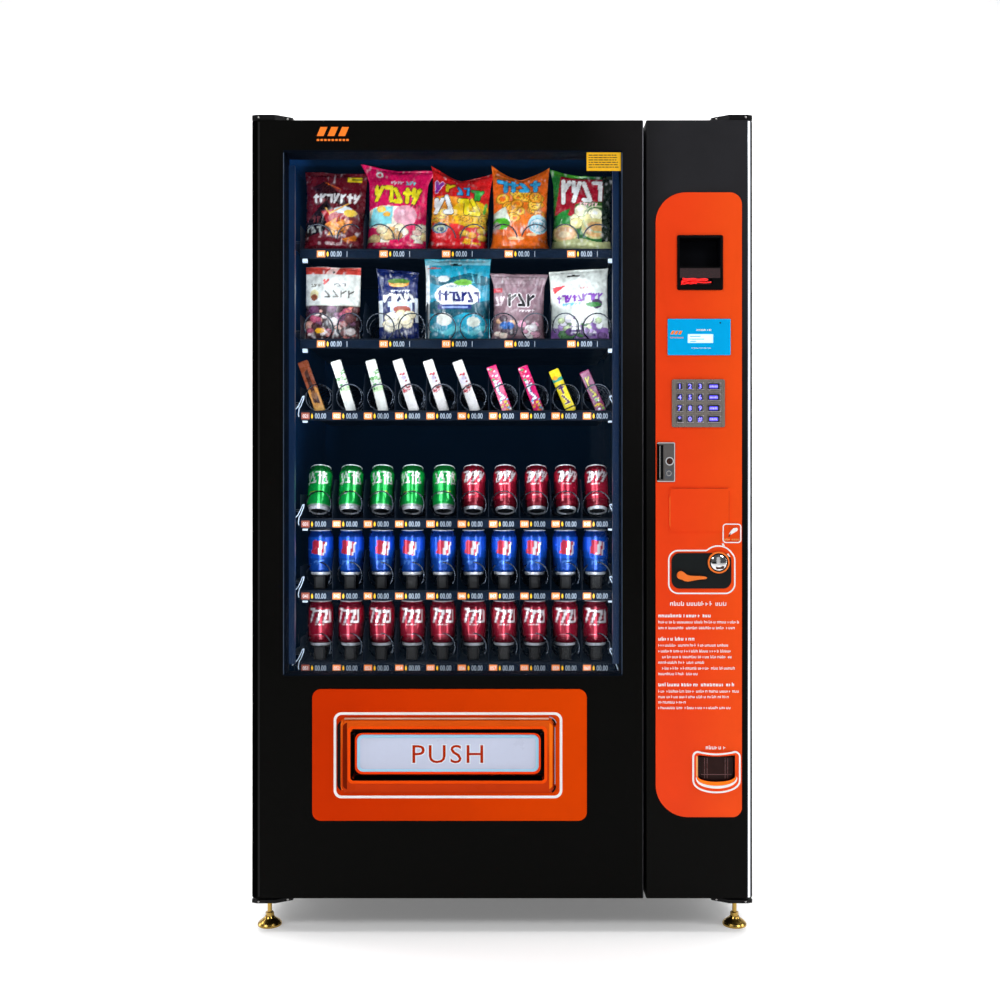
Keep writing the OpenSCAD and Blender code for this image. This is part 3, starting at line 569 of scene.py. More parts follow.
# ---------------------------------------------------------------- keys with lit symbols
SYMBOLS = ["1", "2", "3", "<", "4", "5", "6", "+", "7", "8", "9", "=", "*", "0", "#", ">"]
for i in range(16):
    b = Build()
    cx, cz, w = KX[i % 4], KZ0 - KPZ * (i // 4), KW[i % 4]
    rings = []
    for (ins, y, r) in ((0, FRONT + 2.5, 2.5), (0, FRONT - 7.2, 2.5), (0.6, FRONT - 8.4, 2.6),
            (1.6, FRONT - 9.1, 3.0), (4.5, FRONT - 8.7, 3.4)):
        rings.append([(x, y, z) for x, z in rrect(cx - w / 2 + ins, cz - KH / 2 + ins, cx + w / 2 - ins,
            cz + KH / 2 - ins, r, 5)])
    n = len(rings[0])
    v = [p for q in rings for p in q]
    f = [list(range(n - 1, -1, -1)), list(range((len(rings) - 1) * n, len(rings) * n))]
    for k in range(len(rings) - 1):
        f += [[k * n + a, k * n + (a + 1) % n, (k + 1) * n + (a + 1) % n, (k + 1) * n + a] for a in range(n)]
    b.add(v, f, KEYM, True)
    b.sheet(rrect(cx - w / 2 + 2.6, cz - KH / 2 + 1.8, cx + w / 2 - 4.2, cz + KH / 2 - 1.8, 2.4, 4), 9, 8.5,
        KEYB)
    if i % 4 < 3:
        b.text(SYMBOLS[i], cx - 0.8, cz - 5.0, 10, FRONT - 9.1, GLOW, 0.3, 1.05, 0.75)
        b.text(SYMBOLS[i], cx - 0.8, cz - 5.0, 10, FRONT - 9.2, GLOWP, 0.3, 1.05, -0.1)
    else:
        rnd = random.Random(40 + i)
        b.sheet(rrect(cx - 11.5, cz - 4.6, cx + 8.6, cz + 3.8, 2, 3), 9.15, 8.9, GLOW)
        x = cx - 10
        while x < cx + 6.5:
            lw = rnd.uniform(1.6, 3.2)
            b.sheet(rrect(x, cz - 2.6, x + lw * 0.6, cz + rnd.uniform(0.6, 2.4), 0.4, 3), 9.3, 9.1, GLOWP)
            x += lw + 0.6
    b.done("key_piece_%d" % (i + 1), "key_%d" % (i + 1), "key_metal", ["key_%d" % (i + 1)])

# ---------------------------------------------------------------- delivery flap
b = Build()
b.prism(rrect(-344, 386, 90, 487, (12, 12, 2, 2)), -368.6, -366, VOIDB, 0.6)
b.prism(rrect(-344.4, 386.4, 90.4, 483.4, 17), -370, -368.5, RIM, 0.6)
b.prism(rrect(-339.2, 392.6, 85.6, 479.4, 14), -371.6, -370, PLATEB, 0.5)
b.prism(rrect(-332.4, 398.6, 79.0, 472.6, 9), -372.0, -371.5, PLATE, 0.3)
for xa, xb in ((-354.8, -343.6), (89.6, 100.6)):
    b.tube([(xa + (xb - xa) * t / 3, -368, 483) for t in range(4)], 4, HINGE, 16)
b.tube([(-343.8 + 433.6 * t / 8, -367.4, 482.6) for t in range(9)], 2.6, VOID, 12)
b.text("PUSH", -127, 413.6, 42, -372.4, PUSHC, 0.5, 1.10, -0.1, gap=1.14)
b.text("PUSH", -127, 413.6, 42, -372.1, PALEG, 0.4, 1.10, 2.6, gap=1.14)
b.done("delivery_flap_door", "delivery_flap", "flap_grey", ["delivery_flap"])

# ---------------------------------------------------------------- printed lines and marks on the two doors
b = Build()
b.band(rrect(-392, 334, 140, 534, 18), rrect(-386, 340, 134, 528, 13), 3.25, 2.9, WHITE)
# bezel: painted shade lines and a bright painted highlight along the rounded edge at the sides, a thin pale
# painted highlight along the top and a thin painted reflection along the foot, black sleeve and orange lip in
# the mouth
b.sheet(crescent(-383.2, -374.6, 353, 515, 14), 7.5, 3.1, DARKL)
b.sheet(crescent(-374.9, -370.6, 354, 516, 10), 8.2, 6, HOTY)
b.sheet(crescent(-369.4, -359.6, 357, 512, 9), 12.3, 11.8, REDL)
b.sheet(crescent(116.4, 109.4, 358, 511, 8), 12.3, 11.8, HOTY)
b.sheet(crescent(121.6, 117.6, 357, 512, 8), 8.2, 6, REDL)
b.box((120.9, FRONT - 7.7, 368), (123.6, FRONT - 6.9, 500), SIDE_SHEEN)
for za, sg in ((505.5, 1), (363.0, -1)):
    arc = []
    for r, turn in ((17.6, range(-6, 62, 4)), (13.6, range(58, -7, -4))):
        for a in (radians(sg * t) for t in turn):
            arc.append((107.5 + r * cos(a), za + r * sin(a)))
    b.sheet(arc[::sg], 8.0, 3.1, DARKL)
b.tube([(107.5 + 18.4 * sin(radians(a)), FRONT - 7.2, 505.5 + 18.4 * cos(radians(a)))
    for a in range(4, 84, 8)], 1.1, SIDE_SHEEN, 8)
b.tube([(-366 + 47.4 * t, FRONT - 8.0, 520.2) for t in range(11)], 2.0, EDGEP, 8)
b.tube([(-366 + 48 * t, FRONT - 8.6, 353.0) for t in range(11)], 1.4, EDGEQ, 8)
mouth = rrect(-352, 374, 98, 494, 8)
b.band(mouth, shrink(mouth, 0.7), 12, -7.4, VOIDB)
b.box((-350, FRONT + 7.2, 374.1), (96, FRONT + 44, 374.8), VOIDB)
for x in (-351.9, 97.2):
    b.box((x, FRONT + 7.2, 380), (x + 0.7, FRONT + 44, 477), VOIDB)
b.band(rrect(-358.4, 370.4, 104.4, 503.4, 12), rrect(-352, 377, 98, 497, 8), 12.35, 11.9, HOTL)
b.box((-351.4, FRONT - 12.2, 493.8), (97.4, FRONT - 11.9, 497), VOIDB)
# painted highlight lines down the window's two upright edges
for x in (-509.2, 279.0):
    b.tube([(x, FRONT - 0.3, 622 + 121.5 * t) for t in range(11)], 1.0, EDGEL, 6)
b.done("panel_outline", "glass_door", "panel_orange")

# right door's rounded edge: painted highlight bands (dull, bright, dull), then a painted dark reflection
b = Build()
edge_strip(b, 570, FRONT + 15, 15, 5, 11, 102, 1911, DULLS)
edge_strip(b, 570, FRONT + 15, 15, 11, 31, 102, 1911, EDGE_HIGHLIGHT)
edge_strip(b, 570, FRONT + 15, 15, 31, 38, 102, 1911, DULLS)
edge_strip(b, 570, FRONT + 15, 15, 38, 90, 102, 1911, EDGEB, n=12)
b.done("edge_strip_right", "control_door", "lock_steel")
# painted highlight on the left door's seam edge, painted dark reflection on its outer rounded edge, and a
# thin painted highlight at its fold
b = Build()
edge_strip(b, 325, FRONT + 4, 4, 30, 88, 102, 1911, DULLE)
edge_strip(b, -570, FRONT + 15, 15, -86, -4, 102, 1911, EDGEB, n=12)
b.box((-568.4, FRONT - 0.3, 104), (-565.2, FRONT + 0.2, 1909), FAINT)
b.done("edge_strip_left", "glass_door", "lock_steel")

b = Build()
# generic emblem: three slanted bars and a dash row
for k in range(3):
    x = -431 + 25 * k
    b.sheet([(x - 1, 1876), (x + 15, 1876), (x + 24, 1897), (x + 8, 1897)], 0.35, -0.1, EMBLEM)
for k in range(9):
    x = -432 + 8.6 * k
    b.sheet(rrect(x, 1864.5, x + 6, 1869, 1, 3), 0.35, -0.1, EMBLEM)
b.done("door_emblem", "glass_door", "fascia_orange")

b = Build()
b.sheet(rrect(197, 1796, 278, 1839, 1.5), -3.4, -4, LABELY)
rnd = random.Random(5)
for k in range(6):
    z = 1831.5 - 5.6 * k
    x = 202
    while x < 262 + rnd.uniform(0, 8):
        w = rnd.uniform(3, 11)
        b.box((x, FRONT + 3.2, z), (x + w, FRONT + 3.45, z + 2.0), INK)
        x += w + 1.8
b.done("window_label", "glass_door", "bezel_orange")

b = Build()
words(b, 391, 524, 782, 10.5, 1, WHITE, PRINTED)
LINES = [(755, 490), (741, 552), (727.5, 545), (701, 452), (687, 532), (673.5, 540), (660, 536), (647, 470),
    (633.5, 549), (620.5, 462), (594.5, 541), (580, 552), (567, 536), (554.5, 427), (541.5, 532)]
HEADINGS, INDENTED = (0, 3, 10), (6, 8)
for k, (z, x1) in enumerate(LINES):
    bold = k in HEADINGS
    words(b, 372.5 if k in INDENTED else 363.5, x1, z, 8.4 if bold else 6.6, 20 + k, WHITE, PRINTED, bold)
words(b, 474, 526, 448, 9, 60, WHITE, PRINTED)
# rounded outline round the coin plate, with the bump over the inlet
loop = bump(dense(rrect(386, 809, 543, 912, 24, 10)), 40)
b.band(loop, shrink(loop, 3.4), 3.3, 2.9, WHITE)
# speech-bubble pictogram joined to the outline, with a pointing hand and one print line
bubble = rrect(512.5, 928, 556, 973, 8, 6)
b.band(bubble, shrink(bubble, 2.4), 6.5, 2.9, WHITE)
b.sheet([(527.5, 948.5), (530, 947.2), (538, 951), (545, 955.5), (548.4, 960), (546, 963.5), (538, 962.6),
    (531.5, 956)], 6.4, 2.9, WHITE)
b.sheet([(527.2, 947.4), (529, 946.2), (532, 949.6), (530.6, 950.6)], 6.7, 6.3, INK)
b.sheet(crescent(389.2, 392.6, 962, 1040, 10), 5.6, 5, LABELO2)
b.sheet([(396, 1054.6), (524, 1054.6), (526, 1056.2), (394, 1056.2)], 5.3, 4.9, REDO)
b.sheet([(526.4, 962), (528, 960), (528, 1050), (526.4, 1048)], 5.3, 4.9, REDO)
b.sheet([(526.5, 943), (529, 942), (531, 946), (529.5, 948)], 3.35, 2.9, INK)
words(b, 517.5, 552, 934, 5.6, 91, LABELO, PRINTED - 0.05, True)
b.tube([(513, PRINTED - 0.2, 927), (515.5, PRINTED - 0.2, 920)], 2.4, WHITE, 8)
b.done("fascia_print", "control_door", "fascia_orange")

# display: lit panel with bars
b = Build()
b.sheet(rrect(431.5, 1393, 491, 1414, 1), 3.4, 2.6, LCD)
words(b, 452, 488, 1421, 5.2, 71, WHITE, FRONT - 6, True)
for x1, z in ((462, 1408), (470, 1401.5), (452, 1396.5)):
    b.box((437, PRINTED - 0.6, z), (x1, PRINTED - 0.3, z + 1.6), BLUE)
for k in range(3):
    b.sheet([(391 + 9 * k, 1413), (397 + 9 * k, 1413), (401 + 9 * k, 1421), (395 + 9 * k, 1421)], 6.25, 5.9,
        EMBLEM)
words(b, 391, 424, 1404, 3.6, 73, EMBLEM, FRONT - 6)
b.sheet(disc(507, 1440, 1.9, 16), 4.6, 3.9, GLOSSB)
words(b, 440, 486, 1380, 3.0, 74, WHITE, FRONT - 6)
b.done("display_print", "control_door", "display_blue")

# bill slot: red-lit mouth and ledge
b = Build()
b.box((412.5, FRONT + 29, 1570.5), (507.5, FRONT + 31.5, 1637.5), VOID)
b.box((412.3, FRONT - 5, 1570.2), (413.5, FRONT + 30, 1637.6), VOID)
b.box((506.5, FRONT - 5, 1570.2), (507.7, FRONT + 30, 1637.6), VOID)
b.box((413, FRONT - 6.4, 1544), (507, FRONT - 5.9, 1566.5), LEDGE)
b.box((415.3, FRONT + 6, 1529.3), (488.7, FRONT + 12, 1540.7), LEDGE)
GLINTS = [(1541.5, 1540.2, 419, 478, 2.3), (1537.2, 1538.4, 417, 474, 1.6), (1534.2, 1533.6, 416, 486, 1.5),
    (1530.4, 1531.6, 417, 452, 1.3), (1541.0, 1528.8, 424, 416, 1.3)]
for sd, (z0, z1, xa, xb, r) in enumerate(GLINTS, 1):
    pts = [(xa + (xb - xa) * t / 16, FRONT - 6.9 + (0.4 if sd > 2 else 0),
        z0 + (z1 - z0) * t / 16 + 0.7 * sin(t * 0.9 + sd * 2.1)) for t in range(17)]
    b.tube(pts, r, MOUTH, 8)
b.done("bill_slot_trim", "control_door", "validator_dark")

# coin plate: orange ring round a polished domed inlet
b = Build()
b.band(disc(INLET_X, INLET_Z, 25.2, 48), disc(INLET_X, INLET_Z, 21.6, 48), 10.4, 4.8, LEVER)
b.band(disc(INLET_X, INLET_Z, 21.7, 48), disc(INLET_X, INLET_Z, 19.4, 48), 10.2, 8, GLOSSB)
b.lathe([(19.6, -8.0)] + [(19.6 * cos(radians(a)), -8.0 - 5.5 * sin(radians(a))) for a in range(6, 90, 7)]
    + [(0.15, -13.5)], (INLET_X, FRONT, INLET_Z), "Y", MIRROR, 48)
# painted reflections on the dome: a dark patch left of centre and a brown patch below, then a small painted
# white highlight up to the right
b.sheet(rrect(486.5, 880.2, 499, 884.6, 2, 4), 13.2, 10, GLOSSB)
b.sheet([(497, 867), (513, 868), (516, 874), (503, 877), (495, 873)], 12.6, 9.5, BROWN_KEYWAY_AND_REFLECTION)
b.sheet([(522, 902), (528, 896), (531, 896), (526, 904)], 5.3, 4.9, WHITE)
b.done("coin_inlet_ring", "control_door", "lock_steel")

# coin cup: orange surround in front of the moulding, outline, pale and orange crescents under the flap
b = Build()
hole = dense(cup_line(455.1, 541.4, 434.9, 387, 372.9, 3.2, 3), 2.0)
plate = []
big = dense(rrect(443.7, 345.7, 556.3, 443.3, (34, 20, 12, 12), 12), 1.0)
for x, z in hole:  # the outer point that lies in the same direction from the cup's centre
    a = atan2(z - 400, x - 498.2)
    plate.append(min(big, key=lambda q: abs((atan2(q[1] - 400, q[0] - 498.2) - a + pi) % (2 * pi) - pi)))
b.band(plate, hole, 5.5, 5, ORANGE)
loop = dense(cup_line(442.2, 554.4, 444.2, 378, 346.4, 5.5, 13), 2.5)
b.band(loop, shrink(loop, 4.0), 6.1, 2.9, WHITE)
# the orange crescent carries a faint painted glow
smile(b, 452.5, 543.5, 387, 372.6, 364.0, 386, HOTC, FRONT - 6.0)
smile(b, 450.2, 546.5, 385, 363.6, 357.2, 382, WHITE, FRONT - 6.1)
b.sheet([(450.6, 386), (454.6, 384), (455.0, 431), (450.6, 433)], 6, 5.4, LABELO)
b.done("coin_cup_lip", "control_door", "fascia_orange")
b = Build()
b.sheet(rrect(462.5, 374, 536.5, 427, (26, 26, 2, 2)), -5.15, -5.5, SMOKE)
for x in (472, 478, 520, 526):
    b.box((x, FRONT + 4.95, 378), (x + 1.2, FRONT + 5.2, 426), CUPL)
b.box((464, FRONT + 4.95, 386.5), (535, FRONT + 5.2, 388), CUPL)
b.done("cup_flap_face", "coin_cup_flap", "cup_dark")

# lock: chrome front, black lining in the recess and a black line at the plate's left side as painted shade,
# brown keyway with a bright rim
b = Build()
b.box((362.3, FRONT + 2, 1076.3), (374.7, FRONT + 17, 1155.7), GLOSSB)
b.box((366, FRONT - 4.6, 1078), (368, FRONT + 2.2, 1154), SATIN)
b.band(rrect(360.2, 1070.2, 401.8, 1161.8, 3), rrect(362.4, 1072.4, 399.6, 1159.6, 2), 6, 5, MIRROR)
b.box((360.0, FRONT - 6.2, 1073), (363.4, FRONT - 5.9, 1159), VOIDB)
b.sheet(rrect(376.5, 1074.6, 398.2, 1157.4, 1.5), 5.25, 4.95, LOCKP)
b.sheet(rrect(379, 1078, 396, 1100, 3, 6), 5.6, 5.1, DULLS)
b.band(disc(387.6, 1090, 6.5, 28), disc(387.6, 1090, 4.2, 28), 6, 5.4, SATIN)
b.done("lock_face", "control_door", "lock_steel")
b = Build()
b.band(disc(389, 1118, 9.9, 40), disc(389, 1118, 7.4, 40), 8.6, 7.9, MIRROR)
b.sheet(disc(389, 1118, 7.5, 32), 8.3, 7.9, BROWN_KEYWAY_AND_REFLECTION)
b.box((388.1, FRONT - 8.5, 1113), (389.9, FRONT - 8.2, 1123), GLOSSB)
b.done("lock_keyway", "lock_cylinder", "lock_steel")

# small bolts at the ends of the two lower and upper hinge plates
b = Build()
for sx in (-1, 1):
    for z in (91, 1921):
        for x, y in ((568.5, -376.2), (503, -362.5)):
            b.lathe([(0.1, -2.0), (1.7, -1.7), (2.5, -0.9), (2.7, 0), (2.7, 1.2)], (sx * x, y, z), "Y", SATIN,
                20)
b.done("hinge_bolts", "cabinet", "lock_steel")

# ---------------------------------------------------------------- spirals
def helix(b, x, f, p, turns, hand, first=0):
    """Spiral wire of pitch p that starts at y = -185, with its hub at the back."""
    R, z, y0, n = 33.6, f + 37, -185.0, 20
    pts = []
    for i in range(first, int(turns * n) + 1):
        t = i / n
        a = radians(-35) + 2 * pi * t
        pts.append((x + hand * R * cos(a), y0 + p * t, z + R * sin(a)))
    e = pts[-1]
    for k in range(1, 5):
        q = k / 4
        pts.append((x + (e[0] - x) * (1 - q), e[1] + 3 * q, z + (e[2] - z) * (1 - q)))
    b.tube(pts, 1.75, WIRE, 7)
    b.lathe([(0.2, e[1] - 4), (8.6, e[1] - 4), (9, e[1] - 3), (9, 296), (6, 297), (6, 311), (0.2, 311)],
        (x, 0, z), "Y", BIN, 20)


CAN_ROW = (71.4, 6.3, False)  # wire pitch, turns, and whether left-hand and right-hand wires alternate
SPEC = [(58, 7.8, True), (58, 7.8, True), (42, 10.8, False), CAN_ROW, CAN_ROW, CAN_ROW]
MOVING = {(0, 0): "spiral_1_left", (0, 1): "spiral_1_right", (1, 0): "spiral_2", (2, 0): "spiral_3",
    (3, 0): "spiral_4", (4, 0): "spiral_5", (5, 0): "spiral_6"}
for t, (p, turns, pair) in enumerate(SPEC):
    rest = Build()
    for k in range(10):
        nm = MOVING.get((t, k))
        b = Build() if nm else rest
        hand = 1 if (not pair or k % 2) else -1
        helix(b, LANE0 + LANEP * k, FLOORS[t], p, turns, hand, first=4 if t == 0 else 0)
        if nm:
            b.done(nm + "_wire", nm, "spiral_wire", [nm])
    rest.done("spirals_tray_%d" % (t + 1), "tray_%d" % (t + 1), "spiral_wire")

# ---------------------------------------------------------------- price strips, clips, hooks, risers
HOOK = {-1: [(-523, -4), (-509.5, 9.5), (-503, 22), (-497, 36), (-493.6, 37), (-494.4, 30), (-501, 13),
             (-505.5, 6), (-508, -8), (-506, -17)],
        1: [(290, -17), (283, 2), (279, 13), (270, 31), (268.4, 36), (272, 38), (278, 28), (283.6, 10),
            (281, 3), (287, -3)]}  # wire hook at either end of a tray: x, and height over the tray floor
for t, f in enumerate(FLOORS):
    b = Build()
    zc = f - 12
    b.box((-505, STRIP_Y, f - 21.2), (281, STRIP_Y + 0.8, f - 3), STRIPC)
    wide = t < 2
    for k in range(5 if wide else 10):
        x = (-462.5 + 156.4 * k) if wide else (-501.5 + 78.2 * k)
        b.prism(rrect(x, zc - 8.3, x + 20.5, zc + 8.3, 1, 3), STRIP_Y - 0.5, STRIP_Y,
            TAGO if wide or k else TAGD)
        num = "%03d" % (10 * t + k + 1)
        b.text(num, x + 10.2, zc - 4.3, 8.6, STRIP_Y - 0.7, WHITE, 0.3, 0.82, 0.2)
        a = x + 24.5
        b.prism([(a, zc - 4.5), (a + 1.6, zc - 4.5), (a + 1.6, zc - 7), (a + 2.9, zc - 7),
            (a + 2.9, zc - 4.5), (a + 4.5, zc - 4.5), (a + 4.5, zc + 2), (a + 2.25, zc + 7), (a, zc + 2)],
            STRIP_Y - 0.5, STRIP_Y, ARROW)
        b.text("00.00", a + 23.5, zc - 6.4, 13.0, STRIP_Y - 0.6, DIGIT, 0.3, 0.66, 0.25, gap=1.03)
        if wide:
            b.box((a + 50, STRIP_Y - 0.4, zc - 7), (a + 51.4, STRIP_Y, zc + 7), DIGIT)
    b.done("price_strip_%d" % (t + 1), "tray_%d" % (t + 1), "lever_orange")

    b = Build()
    for x in (-499, 265.5):
        h = 10 if t < 2 else 5
        b.prism(rrect(x, zc - 11.5 - h, x + 12.5, zc - 11.5, 1.2, 3), -197.5, -190, CLIPC, 0.6)
    if t >= 2:
        for sx in (-1, 1):
            pts = []
            for i, ((xa, za), (xb, zb)) in enumerate(zip(HOOK[sx], HOOK[sx][1:])):
                for q in (0, 0.25, 0.5, 0.75):
                    pts.append((xa * (1 - q) + xb * q, -205.5 + 0.6 * sin(i + q), f + za * (1 - q) + zb * q))
            b.tube(pts, 1.25, CLIPC, 7)
    if t >= 4:
        for k in range(10):
            x = LANE0 + LANEP * k
            b.prism(rrect(x - 15, f + 1, x + 15, f + 37.5, 2, 3), -152, -104, RISER, 1.0)
            b.prism(rrect(x - 9, f + 5, x + 9, f + 33, 2, 3), -153.5, -152, BIN)
            b.box((x - 21, -146, f + 34.5), (x + 21, -108, f + 37.5), RISER)
    b.done("tray_fittings_%d" % (t + 1), "tray_%d" % (t + 1), "key_metal")

# ---------------------------------------------------------------- stock: packs painted in plain shapes
def hit(sh, x, z):
    """Whether the point lies in the shape."""
    k = sh[0]
    if k == "rect":
        return sh[1] <= x <= sh[3] and sh[2] <= z <= sh[4]
    if k == "oval":
        return ((x - sh[1]) / sh[3]) ** 2 + ((z - sh[2]) / sh[4]) ** 2 <= 1
    if k == "hoop":
        d = ((x - sh[1]) / sh[3]) ** 2 + ((z - sh[2]) / sh[4]) ** 2
        return sh[5] <= d <= 1
    if k == "line":
        ax, az, bx, bz, w = sh[1:6]
        dx, dz = bx - ax, bz - az
        t = max(0, min(1, ((x - ax) * dx + (z - az) * dz) / (dx * dx + dz * dz + 1e-9)))
        return (x - ax - t * dx) ** 2 + (z - az - t * dz) ** 2 <= w * w
    if k == "poly":
        c, pts = False, sh[1]
        j = len(pts) - 1
        for i in range(len(pts)):
            (xi, zi), (xj, zj) = pts[i], pts[j]
            if (zi > z) != (zj > z) and x < (xj - xi) * (z - zi) / (zj - zi) + xi:
                c = not c
            j = i
        return c
    if k == "wave":  # everything under a wavy line
        return z < sh[1] + sh[2] * sin(x * sh[3] + sh[4])
    return False


def layer(kind):
    """Maker of painted layers of one kind: called with the shape's numbers, then its colour."""
    return lambda *a: ((kind,) + a[:-1], a[-1])


rect, oval, hoop, line, poly, wave = (layer(k) for k in ("rect", "oval", "hoop", "line", "poly", "wave"))


def paint(layers, base):
    """Colour at a point: that of the topmost layer over it, or the base colour."""
    comp = [(s, lin(c)) for s, c in layers]
    bb = lin(base)

    def at(x, z):
        col = bb
        for s, c in comp:
            if hit(s, x, z):
                col = c
        return tuple(col)
    return at


def blobs(x0, z0, x1, z1, n, cols, seed, r0=5, r1=11, kind="oval"):
    """Food-like pieces scattered over an area, each with a dark rim and a light spot."""
    rnd = random.Random(seed)
    out = []
    for _ in range(n):
        x, z, r, s = rnd.uniform(x0, x1), rnd.uniform(z0, z1), rnd.uniform(r0, r1), rnd.uniform(0.55, 0.95)
        c = rnd.choice(cols)
        d = "#%02x%02x%02x" % tuple(int(int(c[i:i + 2], 16) * 0.62) for i in (1, 3, 5))
        g = "#%02x%02x%02x" % tuple(min(255, int(int(c[i:i + 2], 16) * 1.08 + 14)) for i in (1, 3, 5))
        if kind == "hoop":
            out += [hoop(x, z, r * 1.15, r * s * 1.15, 0.22, d), hoop(x, z, r, r * s, 0.34, c),
                hoop(x - 0.6, z + 0.8, r * 0.82, r * s * 0.8, 0.55, g)]
        elif kind == "chip":
            a = rnd.uniform(0, 6.28)
            tri = [(x + r * 1.4 * cos(a + q), z + r * 1.4 * sin(a + q)) for q in (0, 2.2, 4.1)]
            tri2 = [(x + (px - x) * 1.14, z - 1 + (pz - z) * 1.14) for px, pz in tri]
            out += [poly(tri2, d), poly(tri, c), oval(x, z, r * 0.35, r * 0.3, g)]
        else:
            out += [oval(x, z - 0.8, r * 1.12, r * s * 1.14, d), oval(x, z, r, r * s, c),
                oval(x - r * 0.2, z + r * 0.2, r * 0.5, r * s * 0.42, g)]
    return out


def marks(x0, z0, x1, z1, n, col, seed, w=2.2, edge=None, slant=0.0, it=0.0):
    """Chunky strokes in a row, where a real pack has its name."""
    rnd = random.Random(seed)
    out, tops = [], []
    cw = (x1 - x0) / n
    for k in range(n):
        cx = x0 + cw * (k + 0.5)
        dz = slant * (cx - (x0 + x1) / 2)
        h = (z1 - z0) * rnd.uniform(0.8, 1.0)
        a, c = cx - cw * 0.3, cx + cw * 0.3
        lo, hi = z0 + dz, z0 + h + dz
        mid, high = (lo + hi) / 2, hi * 0.7 + lo * 0.3
        opts = [((a, lo, a, hi), (a, mid, c, hi)), ((a, hi, c, hi), (c, hi, c, lo)),
            ((a, lo, c, lo), (a, hi, c, lo)), ((cx, lo, cx, hi), (a, high, c, high)),
            ((a, lo, c, hi), (a, hi, a, mid))]
        for ax, az, bx, bz in rnd.choice(opts):
            tops.append(("line", ax + it * (az - z0), az, bx + it * (bz - z0), bz, w))
    if edge:
        out += [((s[0],) + s[1:5] + (w + 1.6,), edge) for s in tops]
    return out + [(s, col) for s in tops]


GLINT = 1.6  # strength of the white glints painted into the film's colour


